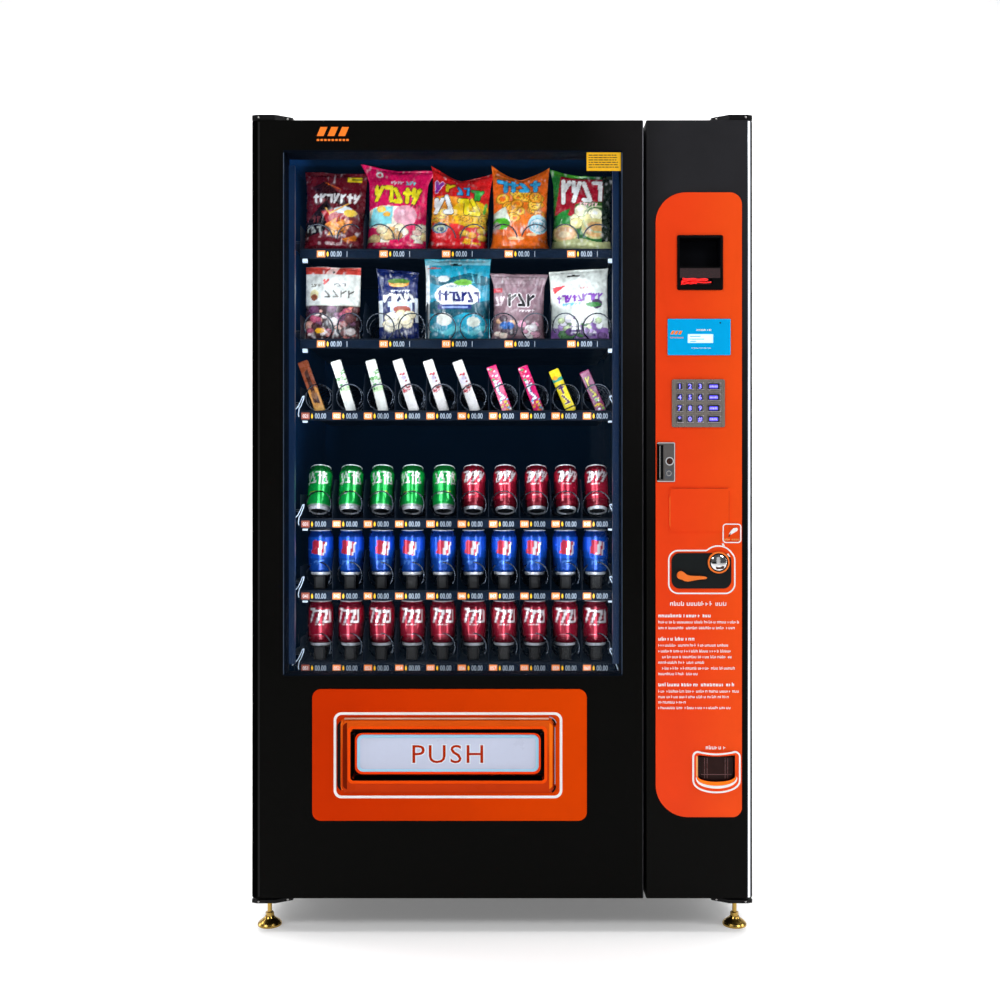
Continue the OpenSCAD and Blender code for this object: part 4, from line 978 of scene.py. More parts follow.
def bag(number, dx, w, h, d, at, top_flare=0.06, bot_flare=0.03, pinch=0.07, notch=0.0, tilt=0.0, yaw=0.0,
        seal=9.0, corner=(0.0, 0.0), flat=False, back="#8a8a8a"):
    """Puffed pack with pinched seals. notch dips the top edge, corner lifts its two ends, and flat halves
    the wrinkles. The packs of the top tray have a full foot and their print sits higher."""
    tray, lane = divmod(number - 1, 5)
    y, belly, up = (-134.0, 13.0, 16.0) if tray == 0 else (-132.0, 0.0, 0.0)
    cx, f, seed = LANE0 + LANEP * (2 * lane + 0.5) + dx, FLOORS[tray], number
    rnd = random.Random(seed)
    nu, nv = 72, 92
    off = Vector((seed * 3.1, seed * 1.7, 0.0))
    M4 = (Matrix.Translation((cx, y, f + 2)) @ Matrix.Rotation(radians(yaw), 4, "Z")
        @ Matrix.Rotation(radians(tilt), 4, "Y"))
    creases = [(rnd.uniform(-0.9, 0.9), rnd.uniform(0.4, 1.0), rnd.uniform(-0.8, 0.8), rnd.choice((0, 1)))
        for _ in range(9)]
    bcol = tuple(lin(back))
    b = Build()
    v, col = [], []
    for side in (-1, 1):
        for j in range(nv + 1):
            tv = j / nv
            z = tv * h
            dist = min(z, h - z)
            puff = max(0.0, min(1.0, (dist - seal * 0.6) / (h * 0.5 - seal * 0.6)))
            top, foot = max(0, (tv - 0.8) / 0.2) ** 1.6, max(0, (0.14 - tv) / 0.14) ** 1.5
            hw = w / 2 * (1 - pinch * sin(pi * tv) ** 0.7 + top_flare * top + bot_flare * foot)
            for i in range(nu + 1):
                u = 2 * i / nu - 1
                x = hw * u
                prof = max(0.0, 1 - abs(u) ** 2.8) ** 0.62
                th = d / 2 * prof * puff ** 0.48
                q = Vector((x * 0.020, z * 0.020, side * 3.0)) + off
                wr = noise.noise(q) * 4.5 + noise.noise(q * 2.6) * 2.2 - abs(noise.noise(q * 4.1)) * 1.6
                for (cs, amp, dr, which) in creases:
                    dz = (h - z) if which else z
                    ln = (u - cs - dr * dz / h * 0.55)
                    wr -= 3.4 * amp * exp(-(ln * 13) ** 2) * exp(-((dz - 16) / 34) ** 2)
                wr *= prof ** 0.6 * min(1.0, puff * 4) * (0.5 if flat else 1.0)
                yy = side * (th + wr * (1 if th > 0.5 else 0))
                yy = min(yy, -0.15) if side < 0 else max(yy, 0.15)
                if dist < seal:
                    rib = 0.55 * sin(z * 2.6) * (1 if dist < seal * 0.8 else 0.2)
                    yy = side * 0.35 + rib + 2.2 * sin(u * 5 + seed) * max(0.0, 1 - dist / seal)
                if side < 0 and belly:
                    yy -= belly * exp(-((z - 18) / 18) ** 2) * (1 - abs(u) ** 6)
                zz = z
                if tv > 0.72:
                    g = ((tv - 0.72) / 0.28) ** 1.5
                    zz -= notch * (1 - abs(u) ** 1.3) * g
                    zz += (corner[0] * max(0, -u) ** 1.5 + corner[1] * max(0, u) ** 1.5) * g
                zz += 1.6 * noise.noise(Vector((u * 2.1, seed, 0.3))) * (1 if tv > 0.9 else 0)
                v.append(tuple(M4 @ Vector((x, yy, zz))))
                if side < 0:
                    # film colour: random mottling, and painted white glints that are strongest on the crimped
                    # ends
                    q3 = Vector((x * 0.045 + seed, z * 0.04, seed * 3.3))
                    k3 = 1 + 0.34 * noise.noise(q3) + 0.30 * noise.noise(q3 * 3.1)
                    ends = 1.0 if z < 0.34 * h or z > 0.86 * h else 0.3
                    gl = max(0.0, noise.noise(Vector((x * 0.13, z * 0.07, seed * 5.1))) - 0.34) * ends * GLINT
                    col.append(tuple(min(1.0, c_ * k3 * (1 - gl) + 0.85 * gl) for c_ in at(x, z - up)))
                else:
                    col.append(bcol)
    faces = []
    row = nu + 1
    half = row * (nv + 1)
    for sd in (0, 1):
        for j in range(nv):
            for i in range(nu):
                a = sd * half + j * row + i
                quad = [a, a + 1, a + row + 1, a + row]
                faces.append(quad if sd == 0 else quad[:1] + quad[:0:-1])
    for j in range(nv):
        a = j * row
        faces.append([a, a + row, half + a + row, half + a])
        a = j * row + nu
        faces.append([a, half + a, half + a + row, a + row])
    for i in range(nu):
        faces.append([i, half + i, half + i + 1, i + 1])
        a = nv * row + i
        faces.append([a, a + 1, half + a + 1, half + a])
    b.add(v, faces, PRINT, True, col)
    b.done("snack_%s_%d" % (("bag", "pouch")[tray], lane + 1), "tray_%d" % (tray + 1))


# the first dark shape, at the left, is a painted dark reflection on the film
art = [poly([(-74, 60), (-20, 118), (-4, 92), (-26, 40), (-74, 20)], "#1a0d10"),
    poly([(-60, 150), (-22, 168), (44, 96), (-30, 120)], "#331016"),
    poly([(-6, 34), (40, 60), (22, 96), (-34, 88)], "#b01e28")]
art += blobs(-14, 14, 44, 60, 7, ["#e88a2a", "#d9741e", "#f0a040"], 3, 11, 17, "chip")
art += [oval(22, 92, 24, 9, "#cfd6dc"), oval(40, 84, 17, 9, "#e8c23a"),
    line(-22, 96, -12, 82, 1.6, "#e9b04a"), line(-12, 82, 42, 112, 1.8, "#e9b04a"),
    rect(30, 166, 66, 180, "#e6c81e"), rect(40, 170, 66, 175, "#70701a"),
    line(-24, 162, 12, 146, 1.2, "#c4581c")]
art += marks(-56, 112, 64, 134, 7, "#e4e2e0", 8, 3.0)
art += marks(-70, 62, -34, 76, 3, "#6a2a30", 4, 2.2) + marks(-70, 36, -34, 50, 3, "#9aa09a", 6, 2.0)
art += [rect(40, 4, 64, 14, "#8b2b3a"), wave(8, 2, 0.08, 0, "#6a1020")]
bag(1, -3, 158, 206, 50, paint(art, "#64101d"), 0.03, 0.12, 0.05, 0, 1.5, 0, corner=(4, 1), back="#4a1018")

art = [oval(-22, 72, 62, 30, "#f6ead2"), poly([(-74, 50), (-60, 96), (-10, 100), (-14, 56)], "#7fd4dc"),
    oval(-40, 92, 12, 8, "#f4c53c"), oval(-26, 80, 9, 6, "#f0b02c"), oval(20, 78, 30, 26, "#e9a3b4"),
    oval(10, 86, 10, 9, "#f2bccb")]
art += blobs(-62, 10, 66, 50, 24, ["#f0dcb0", "#e8c88a", "#f6e8cc", "#d9a25c", "#f2c8b8"], 12, 9, 17)
art += [rect(-74, -2, 74, 8, "#d81050"), oval(-48, 182, 9, 8, "#f3ece6"), oval(-48, 181, 5, 4, "#d84050")]
art += marks(-18, 160, 14, 168, 4, "#f6d8e0", 3, 1.5) + marks(20, 158, 46, 168, 3, "#6fd0d4", 5, 1.8)
art += marks(-58, 114, 60, 150, 5, "#f3e022", 12, 5.0, "#201408", -0.06)
art += marks(34, 100, 56, 106, 3, "#7a1030", 6, 1.2)
bag(2, 0, 161, 217, 50, paint(art, "#e3135c"), 0.24, 0.03, 0.09, 4, 1.4, 0, corner=(12, -2), back="#b01048")

art = [poly([(-80, 120), (-40, 128), (20, 120), (80, 100), (80, 50), (-80, 60)], "#f09418"),
    oval(30, 84, 50, 34, "#f7c31a"), wave(34, 5, 0.07, 1, "#d7141e")]
art += blobs(-66, 52, 66, 86, 16, ["#f4a722", "#f8c440", "#e88a18"], 21, 8, 13, "hoop")
art += blobs(14, 16, 62, 46, 6, ["#f0a020", "#e8b83c"], 23, 8, 12)
art += [oval(-48, 44, 20, 14, "#3c6f96"), oval(-48, 44, 15, 10, "#b8c8a0"), oval(-46, 42, 9, 6, "#28506e")]
art += marks(-68, 138, -44, 164, 1, "#8b2b9a", 3, 4.0, "#e8c8e8")
art += marks(-40, 140, -14, 162, 1, "#f3d81c", 4, 4.2, "#3a1a08")
art += marks(-10, 132, 22, 154, 2, "#2fa0e0", 9, 3.4, "#102040")
art += marks(26, 122, 58, 146, 2, "#34b040", 7, 3.6, "#0c3010")
art += marks(-66, 84, -16, 124, 2, "#f4f4f0", 14, 5.2, "#30120a", 0.05)
art += marks(-8, 84, 54, 118, 2, "#f5dd1c", 33, 5.4, "#3a1208")
art += [line(62, 88, 66, 112, 3.2, "#46b838"), rect(10, 6, 60, 13, "#e05a20")]
art += marks(12, 6, 58, 12, 6, "#f0d020", 3, 1.1)
bag(3, -2, 156, 211, 52, paint(art, "#dd1f20"), 0.05, 0.06, 0.08, 24, 3.8, 0, corner=(10, 3), back="#a01418")

art = [oval(4, 96, 52, 46, "#ec7418")]
art += blobs(-48, 70, 50, 138, 26, ["#f0a828", "#f6bc3c", "#e8921c"], 31, 10, 16, "hoop")
art += [poly([(-66, 44), (-70, 82), (-38, 100), (-24, 60), (-36, 42)], "#d8e0d0"),
    oval(-48, 58, 22, 14, "#52c41a"), oval(-60, 52, 12, 9, "#a89a98"), wave(36, 5, 0.07, 2, "#ef6a14"),
    oval(46, 56, 26, 24, "#bdeaf2"), oval(46, 54, 21, 18, "#f4fbfc"), hoop(46, 54, 22, 17, 0.8, "#48c0dc")]
art += marks(32, 48, 60, 62, 3, "#7ad0e4", 3, 1.5)
art += marks(-60, 142, 52, 172, 4, "#38a8dc", 41, 5.2, "#1c3a5a", 0.03)
art += [rect(-66, 176, -20, 182, "#b05a18"), oval(-10, 20, 22, 5, "#fbc08a"), oval(30, 30, 14, 4, "#fcd0a0")]
bag(4, 1, 150, 214, 52, paint(art, "#f26a1a"), 0.0, 0.15, 0.09, 25, 0.6, 0, corner=(11, 9), back="#b44a10")

art = [poly([(-80, 176), (-30, 170), (40, 196), (-80, 196)], "#3f9a24"),
    poly([(-70, 80), (-56, 176), (56, 176), (62, 80), (30, 60), (-20, 70)], "#a8182c"),
    poly([(-76, 52), (-46, 60), (-30, 96), (-60, 84)], "#1f8a34"), oval(30, 100, 50, 14, "#3a6a20"),
    oval(-46, 62, 26, 16, "#2c8c3c")]
art += blobs(-16, 56, 46, 100, 9, ["#f2eab4", "#f6f0c8", "#e4d88c"], 51, 14, 18)
# the last shape below, a dark band down the right side, is a painted dark reflection on the film
art += [oval(-44, 32, 32, 24, "#d9c67c"), oval(-42, 32, 26, 18, "#e9b98a"), oval(-46, 30, 14, 9, "#f0d8b0"),
    oval(34, 46, 36, 26, "#c9c07c"), oval(34, 44, 28, 19, "#d9a868"), hoop(40, 70, 40, 34, 0.82, "#b8c49a"),
    rect(50, 0, 80, 190, "#1d2a20")]
art += [wave(16, 4, 0.06, 2, "#b8bc84")]
art += marks(-54, 116, 50, 168, 4, "#f4f2ee", 52, 5.6, "#7a1020", 0.1)
art += marks(-8, 102, 38, 110, 6, "#f0c0c4", 4, 1.2)
bag(5, 2, 156, 203, 50, paint(art, "#1c6a2a"), 0.09, 0.04, 0.07, 4, 1.0, 0, corner=(13, -3), back="#123a18")

art = [rect(-74, 172, 74, 190, "#d5463a"), poly([(-20, 172), (6, 172), (16, 190), (-6, 190)], "#eec6bc"),
    oval(2, 178, 3, 3, "#1a1a1a"), rect(-70, 8, 70, 92, "#3a2226")]
art += blobs(-60, 12, 60, 86, 60, ["#5a2a2c", "#8c3434", "#c8766a", "#e9d8d4", "#6a3a5a", "#3a2020",
    "#d8a090", "#b0506a"], 61, 5, 13)
art += [oval(-32, 28, 12, 7, "#f0b020"), rect(-74, 90, 74, 93, "#b8b8a8")]
art += marks(-24, 148, -8, 160, 1, "#d04038", 3, 2.6)
art += marks(-56, 140, -30, 147, 3, "#6a6a5a", 5, 1.3)
art += marks(2, 142, 34, 149, 3, "#6a6a6a", 6, 1.3)
art += marks(-22, 114, 58, 130, 4, "#4a4a42", 63, 2.0)
art += [oval(-46, 118, 11, 14, "#d8cf9c"), oval(-46, 112, 9, 8, "#8c4a28")]
bag(6, -9, 142, 192, 34, paint(art, "#dfe2da"), 0.0, 0.0, 0.02, 0, 0.8, 0, seal=7, flat=True, back="#c8c8c0")

art = [oval(2, 148, 26, 10, "#e08a28"), oval(2, 154, 28, 7, "#5a8a3a"), oval(2, 144, 20, 5, "#f0c070"),
    rect(-28, 88, 34, 100, "#c8d4ea"), rect(-22, 74, 34, 98, "#c9d8ee"), oval(8, 80, 22, 10, "#a8503c"),
    rect(-60, 40, -40, 104, "#dfe6ea"), rect(42, 50, 60, 110, "#d9e2ea")]
art += blobs(-28, 34, 30, 68, 12, ["#f4e8c4", "#ecd9a4", "#fbf4dc"], 71, 12, 17)
art += marks(-38, 102, 42, 120, 6, "#eef0ea", 72, 3.2)
art += marks(-20, 126, 30, 131, 7, "#dfe4f0", 8, 1.1)
bag(7, 6, 104, 184, 44, paint(art, "#12235e"), 0.06, 0.0, 0.03, 0, -1.5, 6, corner=(6, -6), back="#0c1840")

art = [wave(168, 6, 0.05, 0, "#0b5a6c"), wave(150, 7, 0.06, 1, "#0f8aa6"), wave(110, 9, 0.05, 2, "#0a4f60"),
    wave(66, 8, 0.06, 0, "#1a9cba"), wave(34, 7, 0.09, 2, "#54c6d4"), wave(22, 6, 0.1, 1, "#1489a4"),
    oval(0, 118, 58, 32, "#f2f6f8"), rect(-50, 82, 34, 94, "#1c2c78"), rect(-40, 85, 26, 90, "#8aa0d0"),
    oval(-36, 160, 14, 9, "#e6eeee"), oval(14, 150, 24, 8, "#7ac04a"), oval(-34, 56, 20, 16, "#e9efe6"),
    oval(40, 50, 17, 13, "#dfe8dc"), rect(-84, 0, -72, 210, "#eef2f2"), rect(-84, 0, 90, 5, "#e8f0f0"),
    rect(-84, 196, 84, 210, "#8fdcec"), oval(-4, 196, 15, 3.4, "#0a2028"), oval(-60, 188, 18, 2, "#d05040")]
art += marks(-52, 104, 56, 128, 7, "#141f6c", 83, 3.2, None, -0.05)
art += marks(-30, 138, 30, 142, 8, "#9ab0c8", 9, 1.0)
art += marks(34, 150, 64, 178, 3, "#5fb8c8", 9, 1.5)
bag(8, -1, 166, 213, 40, paint(art, "#1fa8c8"), 0.03, 0.02, 0.02, 0, 0, 0, seal=8, flat=True, back="#0c6478")

art = [rect(-80, 148, 80, 170, "#9a8088"), rect(-66, 124, -42, 136, "#c83040"),
    wave(46, 5, 0.08, 0, "#7a5f68")]
art += blobs(-56, 12, -10, 60, 12, ["#3a3440", "#e8b890", "#2a6cc0", "#f0d8c8", "#50404c"], 91, 6, 11)
art += blobs(4, 14, 54, 52, 14, ["#f0e4e8", "#e8a8c0", "#f4ece8", "#c888a0"], 92, 6, 11)
art += marks(-60, 92, -36, 114, 2, "#d8c8cc", 5, 2.2)
art += marks(-28, 92, 42, 120, 3, "#1c1a1e", 94, 3.6, "#ece4e6")
art += marks(0, 76, 40, 81, 5, "#e8dce0", 3, 1.2)
art += [rect(-50, 2, 46, 8, "#7c2a34")]
bag(9, -3, 136, 175, 36, paint(art, "#8a6c76"), 0.12, 0.06, 0.06, 0, 1.0, 0, back="#6a525a")

art = [poly([(-66, 140), (-34, 144), (-64, 122)], "#d8343c"), wave(44, 10, 0.05, 1, "#8a5fa8"),
    rect(-76, 0, 76, 6, "#7a3aa0"), oval(-14, 168, 17, 3, "#1a1a18")]
art += blobs(-50, 12, 62, 62, 30, ["#5a2a78", "#e9e4ee", "#4a8048", "#b090c8", "#f2f0f0", "#6a4a80",
    "#c8d8a8"], 101, 7, 14)
art += [oval(12, 66, 24, 20, "#f2efe8"), oval(44, 96, 14, 12, "#4a2a58"), oval(36, 94, 20, 6, "#3f8a40")]
art += marks(-58, 104, 60, 120, 9, "#7a2ca8", 103, 2.4, None, 0.08)
art += marks(-44, 92, 4, 98, 6, "#5ac0e0", 8, 1.5, None, 0.08)
art += marks(0, 134, 24, 140, 3, "#d88a8a", 8, 1.0)
art += [rect(-30, 26, 6, 32, "#4a2a6a"), rect(10, 14, 40, 22, "#4a2a6a")]
bag(10, -1, 150, 185, 34, paint(art, "#dfe4dc"), 0.02, 0.02, 0.03, 0, -1.2, 0, corner=(-4, 4), seal=7,
    flat=True, back="#b8bcb8")


# gum packs: slim wrapped bars with folded ends, leaning against the turns
def bar_pack(b, cx, f, w, h, d, ang, at):
    """Slim wrapped bar, leaning back 6 degrees and turned by ang in its lane."""
    M4 = (Matrix.Translation((cx, -150.0, f + 3)) @ Matrix.Rotation(radians(6), 4, "X")
        @ Matrix.Rotation(radians(ang), 4, "Y"))
    nx = 9
    front = [(-w / 2 + 1.5 + (w - 3) * i / nx, -d / 2) for i in range(nx + 1)]
    sec = (front + [(w / 2, -d / 2 + 1.5), (w / 2, d / 2 - 1.5), (w / 2 - 1.5, d / 2), (-w / 2 + 1.5, d / 2),
        (-w / 2, d / 2 - 1.5), (-w / 2, -d / 2 + 1.5)])
    k, nv = len(sec), 64
    v, col = [], []
    for j in range(nv + 1):
        z = h * j / nv
        e = min(z, h - z)
        narrow = 1.0 if e > 2.5 else 0.90 + 0.04 * e
        thin = 1.0 if e > 2.5 else 0.80 + 0.08 * e
        for (x, yy) in sec:
            bulge = 0.5 * sin(z * 0.23 + cx) if abs(yy) >= d / 2 - 0.1 else 0
            v.append(tuple(M4 @ Vector((x * narrow, yy * thin - bulge * (1 if yy < 0 else -1) * 0.5, z))))
            col.append(at(x, z))
    faces = [[j * k + i, j * k + (i + 1) % k, (j + 1) * k + (i + 1) % k, (j + 1) * k + i] for j in range(nv)
        for i in range(k)]
    faces += [list(range(k - 1, -1, -1)), list(range(nv * k, nv * k + k))]
    b.add(v, faces, PRINT, False, col)


def gum_print(kind):
    if kind == 0:
        return paint([wave(62, 3, 0.4, 0, "#c98a3e"), poly([(-7, 26), (7, 20), (5, 112), (-5, 104)],
            "#3c1c12"), oval(0, 44, 7, 12, "#7a5030"), wave(14, 2, 0.5, 0, "#e0a850")], "#8a4428")
    if kind == 1:
        return paint([rect(-14, 54, 14, 66, "#cfeabc")] + blobs(-10, 62, 13, 92, 14,
            ["#78b870", "#a4d498", "#4f9a58", "#c8e8c0"], 15, 2.0, 5.0)
            + blobs(4, 84, 13, 108, 6, ["#88c480", "#b4dcaa"], 13, 1.6, 3.4)
            + [rect(-9, 57, -5, 63, "#3f8f48"), rect(-3, 57, 1, 63, "#5fae5a")], "#eceee8")
    if kind == 2:
        return paint([oval(-1, 86, 10, 10, "#d9d4e4"), oval(2, 90, 6, 5, "#b4acc8")]
            + blobs(-11, 54, 11, 72, 16, ["#c01828", "#d84050", "#8c1020", "#e8a0a8"], 7, 1.6, 3.6)
            + blobs(-8, 98, 8, 106, 5, ["#d02838", "#e05060"], 9, 1.6, 3.0)
            + blobs(4, 68, 12, 90, 6, ["#a83848", "#c86878"], 4, 1.2, 2.4), "#eceaea")
    if kind == 3:
        return paint(blobs(-11, 78, 11, 118, 16, ["#38a85c", "#e86080", "#f0d020", "#f4e0f0", "#d83050"], 17,
            2.0, 4.4) + blobs(-11, 4, 11, 34, 14, ["#f0d820", "#38b8e0", "#f4f0f0", "#f08020"], 27, 2.0, 4.2)
            + marks(-8, 36, 8, 56, 1, "#f6f4f6", 9, 2.3, "#20408c")
            + marks(-8, 58, 8, 78, 1, "#f6f4f6", 31, 2.3, "#20408c"), "#d8146a")
    if kind == 4:
        return paint([rect(-14, 84, 14, 92, "#2f9a86"), oval(-4, 94, 6, 5, "#f0a030"),
            rect(-14, 10, 14, 13, "#2c2a20")] + marks(-8, 24, 8, 48, 1, "#5a2470", 5, 2.2, "#f4e88a")
            + marks(-8, 52, 8, 76, 1, "#5a2470", 8, 2.2, "#f4e88a"), "#ecd41a")
    return paint(blobs(-10, 6, 10, 36, 12, ["#e0c030", "#6fae40", "#d868a0", "#e8e0e8"], 19, 1.8, 3.8)
        + marks(-7, 44, 7, 66, 1, "#c8b820", 5, 1.8, "#200818")
        + marks(-7, 70, 7, 94, 1, "#c8b820", 6, 1.8, "#200818"), "#7c1c54")


b = Build()
for k, (kind, ang, h, dx) in enumerate(((0, -19, 134, -3), (1, -17, 134, -2), (1, -14, 134, 1),
        (2, -18, 138, 1), (2, -18, 136, -1), (2, -20, 136, 0), (3, -20, 122, 3), (3, -21, 122, 6),
        (4, -24, 115, 9), (5, -24, 112, 7))):
    bar_pack(b, LANE0 + LANEP * k + dx + 6, FLOORS[2], 26, h, 13, ang, gum_print(kind))
b.done("gum_packs", "tray_3")


# cans: turned shell with necked shoulder, rolled rims, domed foot, lid with tab
def can(b, cx, cy, z0, at, rot, lean, slim=1.0, tall=1.0):
    R, H = 33.1, 115.0
    M4 = (Matrix.Translation((cx, cy, z0)) @ Matrix.Rotation(radians(lean), 4, "X")
        @ Matrix.Diagonal((slim, slim, tall, 1)))
    n = 56

    def ringpts(prof, mat, colf=None):
        v, col = [], []
        for r, z in prof:
            for i in range(n):
                a = 2 * pi * i / n
                v.append(tuple(M4 @ Vector((r * sin(a), -r * cos(a), z))))
                u = (a + pi) % (2 * pi) - pi
                col.append(colf(u * R + rot, z) if colf else (1, 1, 1))
        f = [[k * n + i, k * n + (i + 1) % n, (k + 1) * n + (i + 1) % n, (k + 1) * n + i]
            for k in range(len(prof) - 1) for i in range(n)]
        b.add(v, f, mat, True, col)
    body = ([(27.0, 7.5), (29.5, 9.5), (31.8, 13.0), (R, 17.5)]
        + [(R, 17.5 + 78 * k / 44) for k in range(1, 45)] + [(32.6, 98.5), (31.2, 103), (29.2, 107),
        (27.6, 110.5), (27.5, 112.2)])
    ringpts(body, CANM, at)
    # domed foot in the darker painted-shade metal
    ringpts([(0.2, 9.0), (10, 8.4), (18, 6.4), (21.6, 3.4)], CAND)
    ringpts([(21.6, 3.4), (22.6, 1.4), (23.6, 0.2), (24.6, 0.0), (25.6, 0.8), (26.2, 4.0), (27.0, 7.5)], CANA)
    ringpts([(27.5, 112.2), (28.3, 112.9), (28.3, 113.6), (27.6, 114.6), (26.2, H), (25.4, 114.4),
        (25.0, 110.6), (23.5, 109.2), (22.6, 109.4), (20, 110.4), (0.2, 110.4)], CANA)
    v = [tuple(M4 @ Vector((x, y, z))) for z in (110.6, 112.0) for x,
        y in ((-6, -4), (6, -4), (4.5, 14), (-4.5, 14))]
    b.add(v, [[0, 3, 2, 1], [4, 5, 6, 7], [0, 1, 5, 4], [1, 2, 6, 5], [2, 3, 7, 6], [3, 0, 4, 7]], CANA)


GREEN = paint([rect(-200, 98, 200, 120, "#0a6c2a"), rect(-200, 17, 200, 25, "#0fb04c"),
    rect(-200, 7, 200, 10, "#c8ccd4")] + marks(-34, 66, 34, 96, 4, "#eef6ee", 201, 2.1, "#0a7a34")
    + marks(-30, 62, 32, 94, 3, "#eef6ee", 207, 1.7) + [line(-18, 42, 14, 43, 1.2, "#b8c83a"),
    line(-20, 38, -10, 38, 1.4, "#e8f4ea"), rect(-80, 58, -50, 92, "#7fb890"),
    rect(50, 58, 80, 92, "#7fb890")], "#06b44a")
WINE = paint([rect(-200, 7, 200, 17, "#c8ccd4"), rect(-200, 99, 200, 120, "#6c0c1e")]
    + marks(-40, 70, 28, 98, 4, "#f6eef0", 211, 2.5, "#6a0c22", 0.0, 0.35)
    + [line(-14, 62, -11, 62, 1.7, "#f4e8ea"), line(-5, 62, -2, 62, 1.7, "#f4e8ea"),
    line(4, 62, 7, 62, 1.7, "#f4e8ea"), wave(26, 1, 0.1, 0, "#7e0f24"), line(-12, 34, 4, 34, 1.4, "#d8a8b0")],
    "#bc1a38")
CRIM = paint(marks(-42, 62, 30, 95, 4, "#f8f2f4", 217, 2.9, "#6e0a1c", 0.0, 0.35)
    + [line(-14, 55, -11, 55, 1.5, "#f4e8ea"), line(-5, 55, -2, 55, 1.5, "#f4e8ea"),
    line(4, 55, 7, 55, 1.5, "#f4e8ea"), wave(24, 1, 0.1, 0, "#760a20"), line(-16, 30, 0, 30, 1.3, "#d090a0"),
    rect(-200, 98, 200, 120, "#84102a")], "#aa1432")
# a plain square badge with slanted stripes
BLUEC = paint([wave(44, 1, 0.1, 0, "#1048a8"), rect(-200, 97, 200, 120, "#0a3c9a"),
    poly([(-20, 56), (14, 50), (20, 84), (-14, 90)], "#c83048"),
    poly([(-3, 53.3), (5, 51.8), (11, 85.8), (3, 87)], "#f0f2f8"),
    poly([(10, 50.8), (14, 50), (20, 84), (16, 84.6)], "#f0f2f8")]
    + marks(-15, 28, 15, 38, 3, "#4f84d4", 221, 1.6), "#1257d0")
rnd = random.Random(77)
SHIFTS = (-5, -3, -1, -1, 3, 0, 3, 6, 3, 4)  # how far each can of the leaning row stands off its lane
for t in (3, 4, 5):
    b = Build()
    for k in range(10):
        x = LANE0 + LANEP * k
        if t == 3:
            art = GREEN if k < 5 else WINE
            can(b, x + SHIFTS[k], -138, FLOORS[t] + 18, art, rnd.uniform(-7, 7), -20, slim=0.94, tall=1.05)
        else:
            can(b, x, -128, FLOORS[t] + 38, BLUEC if t == 4 else CRIM, rnd.uniform(-6, 6), 1.5)
    b.done("cans_tray_%d" % (t + 1), "tray_%d" % (t + 1))

# ---------------------------------------------------------------- stage, camera, light
fl = bpy.data.materials.new("floor_pale")
fl.use_nodes = True
fb = fl.node_tree.nodes["Principled BSDF"]
fb.inputs["Base Color"].default_value = (0.86, 0.86, 0.86, 1)
fb.inputs["Roughness"].default_value = 0.6
fb.inputs["Specular IOR Level"].default_value = 0.2
fb.inputs["Emission Color"].default_value = (1, 1, 1, 1)
sep = fl.node_tree.nodes.new("ShaderNodeSeparateXYZ")
geo = fl.node_tree.nodes.new("ShaderNodeNewGeometry")
fl.node_tree.links.new(geo.outputs["Position"], sep.inputs["Vector"])
# the floor's glow is lower under and just in front of the machine, a painted shadow, and rises toward an even
# white further out
glow = remap(fl.node_tree, sep.outputs["Y"], -0.30, -0.47, 0.17, 0.31, smooth=True)
fl.node_tree.links.new(glow, fb.inputs["Emission Strength"])
pts = ([(-9, 0), (4, 0)] + [(4 + 3 * sin(radians(a)), 3 - 3 * cos(radians(a))) for a in range(10, 91, 10)]
    + [(7, 9)])
me = bpy.data.meshes.new("stage_floor")
v = [(x, y, z) for x in (-12, 12) for y, z in pts]
n = len(pts)
me.from_pydata(v, [], [[i, n + i, n + i + 1, i + 1] for i in range(n - 1)])
me.materials.append(fl)
for p in me.polygons:
    p.use_smooth = True
st = bpy.data.objects.new("stage_floor", me)
bpy.context.scene.collection.objects.link(st)

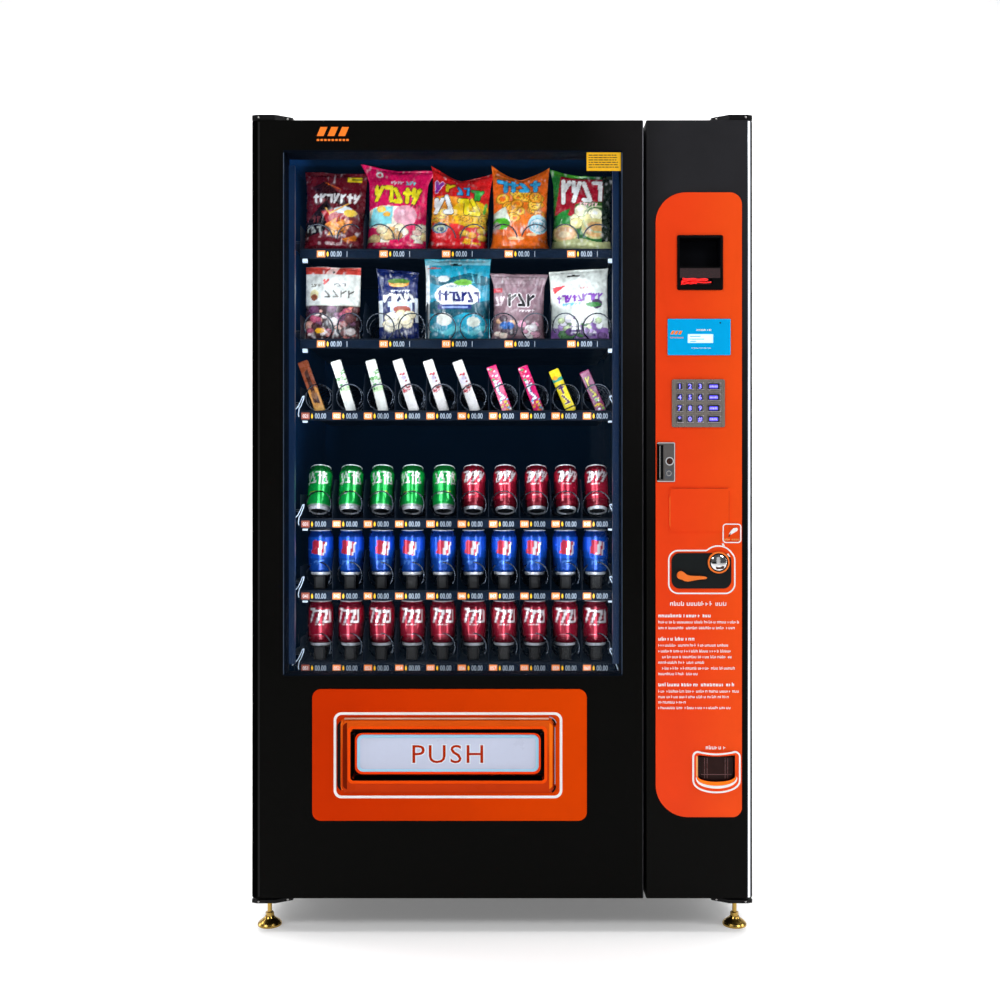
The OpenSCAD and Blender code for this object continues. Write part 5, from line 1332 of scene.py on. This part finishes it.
cam = bpy.data.cameras.new("camera")
cam.lens = 38.63
cam.sensor_width = 36
co = bpy.data.objects.new("camera", cam)
co.location = (-0.005, -2.88, 1.008)
co.rotation_euler = (radians(90), 0, 0)
bpy.context.scene.collection.objects.link(co)
bpy.context.scene.camera = co


def area(name, loc, to, size, size_y, power, col=(1, 1, 1)):
    """Soft rectangular light that the camera doesn't see."""
    ld = bpy.data.lights.new(name, "AREA")
    ld.shape = "RECTANGLE"
    ld.size, ld.size_y, ld.energy, ld.color = size, size_y, power, col
    o = bpy.data.objects.new(name, ld)
    o.location = loc
    o.rotation_euler = (Vector(to) - Vector(loc)).to_track_quat("-Z", "Y").to_euler()
    o.visible_camera = False
    bpy.context.scene.collection.objects.link(o)


area("key_front", (-3.0, -3.8, 3.9), (0, -0.3, 1.0), 1.8, 1.4, 75)
area("fill_right", (2.6, -3.0, 3.4), (0.3, -0.3, 1.5), 1.0, 1.2, 45)
area("card_front", (1.1, -4.4, 1.5), (0.4, -0.38, 1.2), 1.1, 2.4, 5)
area("top_soft", (0, 1.0, 4.6), (0, 0.6, 0), 5, 4, 400)
area("back_wash", (0, 3.0, 4.2), (0, 6.8, 3.0), 8, 2, 420)
area("rim_left", (-3.0, 0.4, 1.4), (-0.58, -0.1, 1.0), 0.6, 2.4, 30)
area("rim_right", (3.0, -0.6, 1.4), (0.58, -0.3, 1.0), 0.6, 2.4, 30)
# light inside the cabinet: thin strips at the door's edges and four thin upright strips just behind the glass
for nm, x, tx in (("lamp_l", -0.470, -0.05), ("lamp_r", 0.246, -0.17)):
    for q in range(2):
        area(nm + str(q), (x, -0.300, 0.91 + 0.6 * q), (tx, 0.0, 0.91 + 0.6 * q), 0.02, 0.58, 0.32,
            (0.8, 0.9, 1.0))
for q, x in enumerate((-0.44, -0.222, -0.004, 0.214)):
    area("case_strip%d" % q, (x, -0.308, 1.20), (x, 0.0, 1.20), 0.024, 1.24, 0.95, (0.985, 0.99, 1.0))

w = bpy.data.worlds.new("studio")
w.use_nodes = True
w.node_tree.nodes["Background"].inputs["Color"].default_value = (0.9, 0.92, 0.95, 1)
w.node_tree.nodes["Background"].inputs["Strength"].default_value = 0.10
bpy.context.scene.world = w
bpy.context.scene.view_settings.view_transform = "Standard"
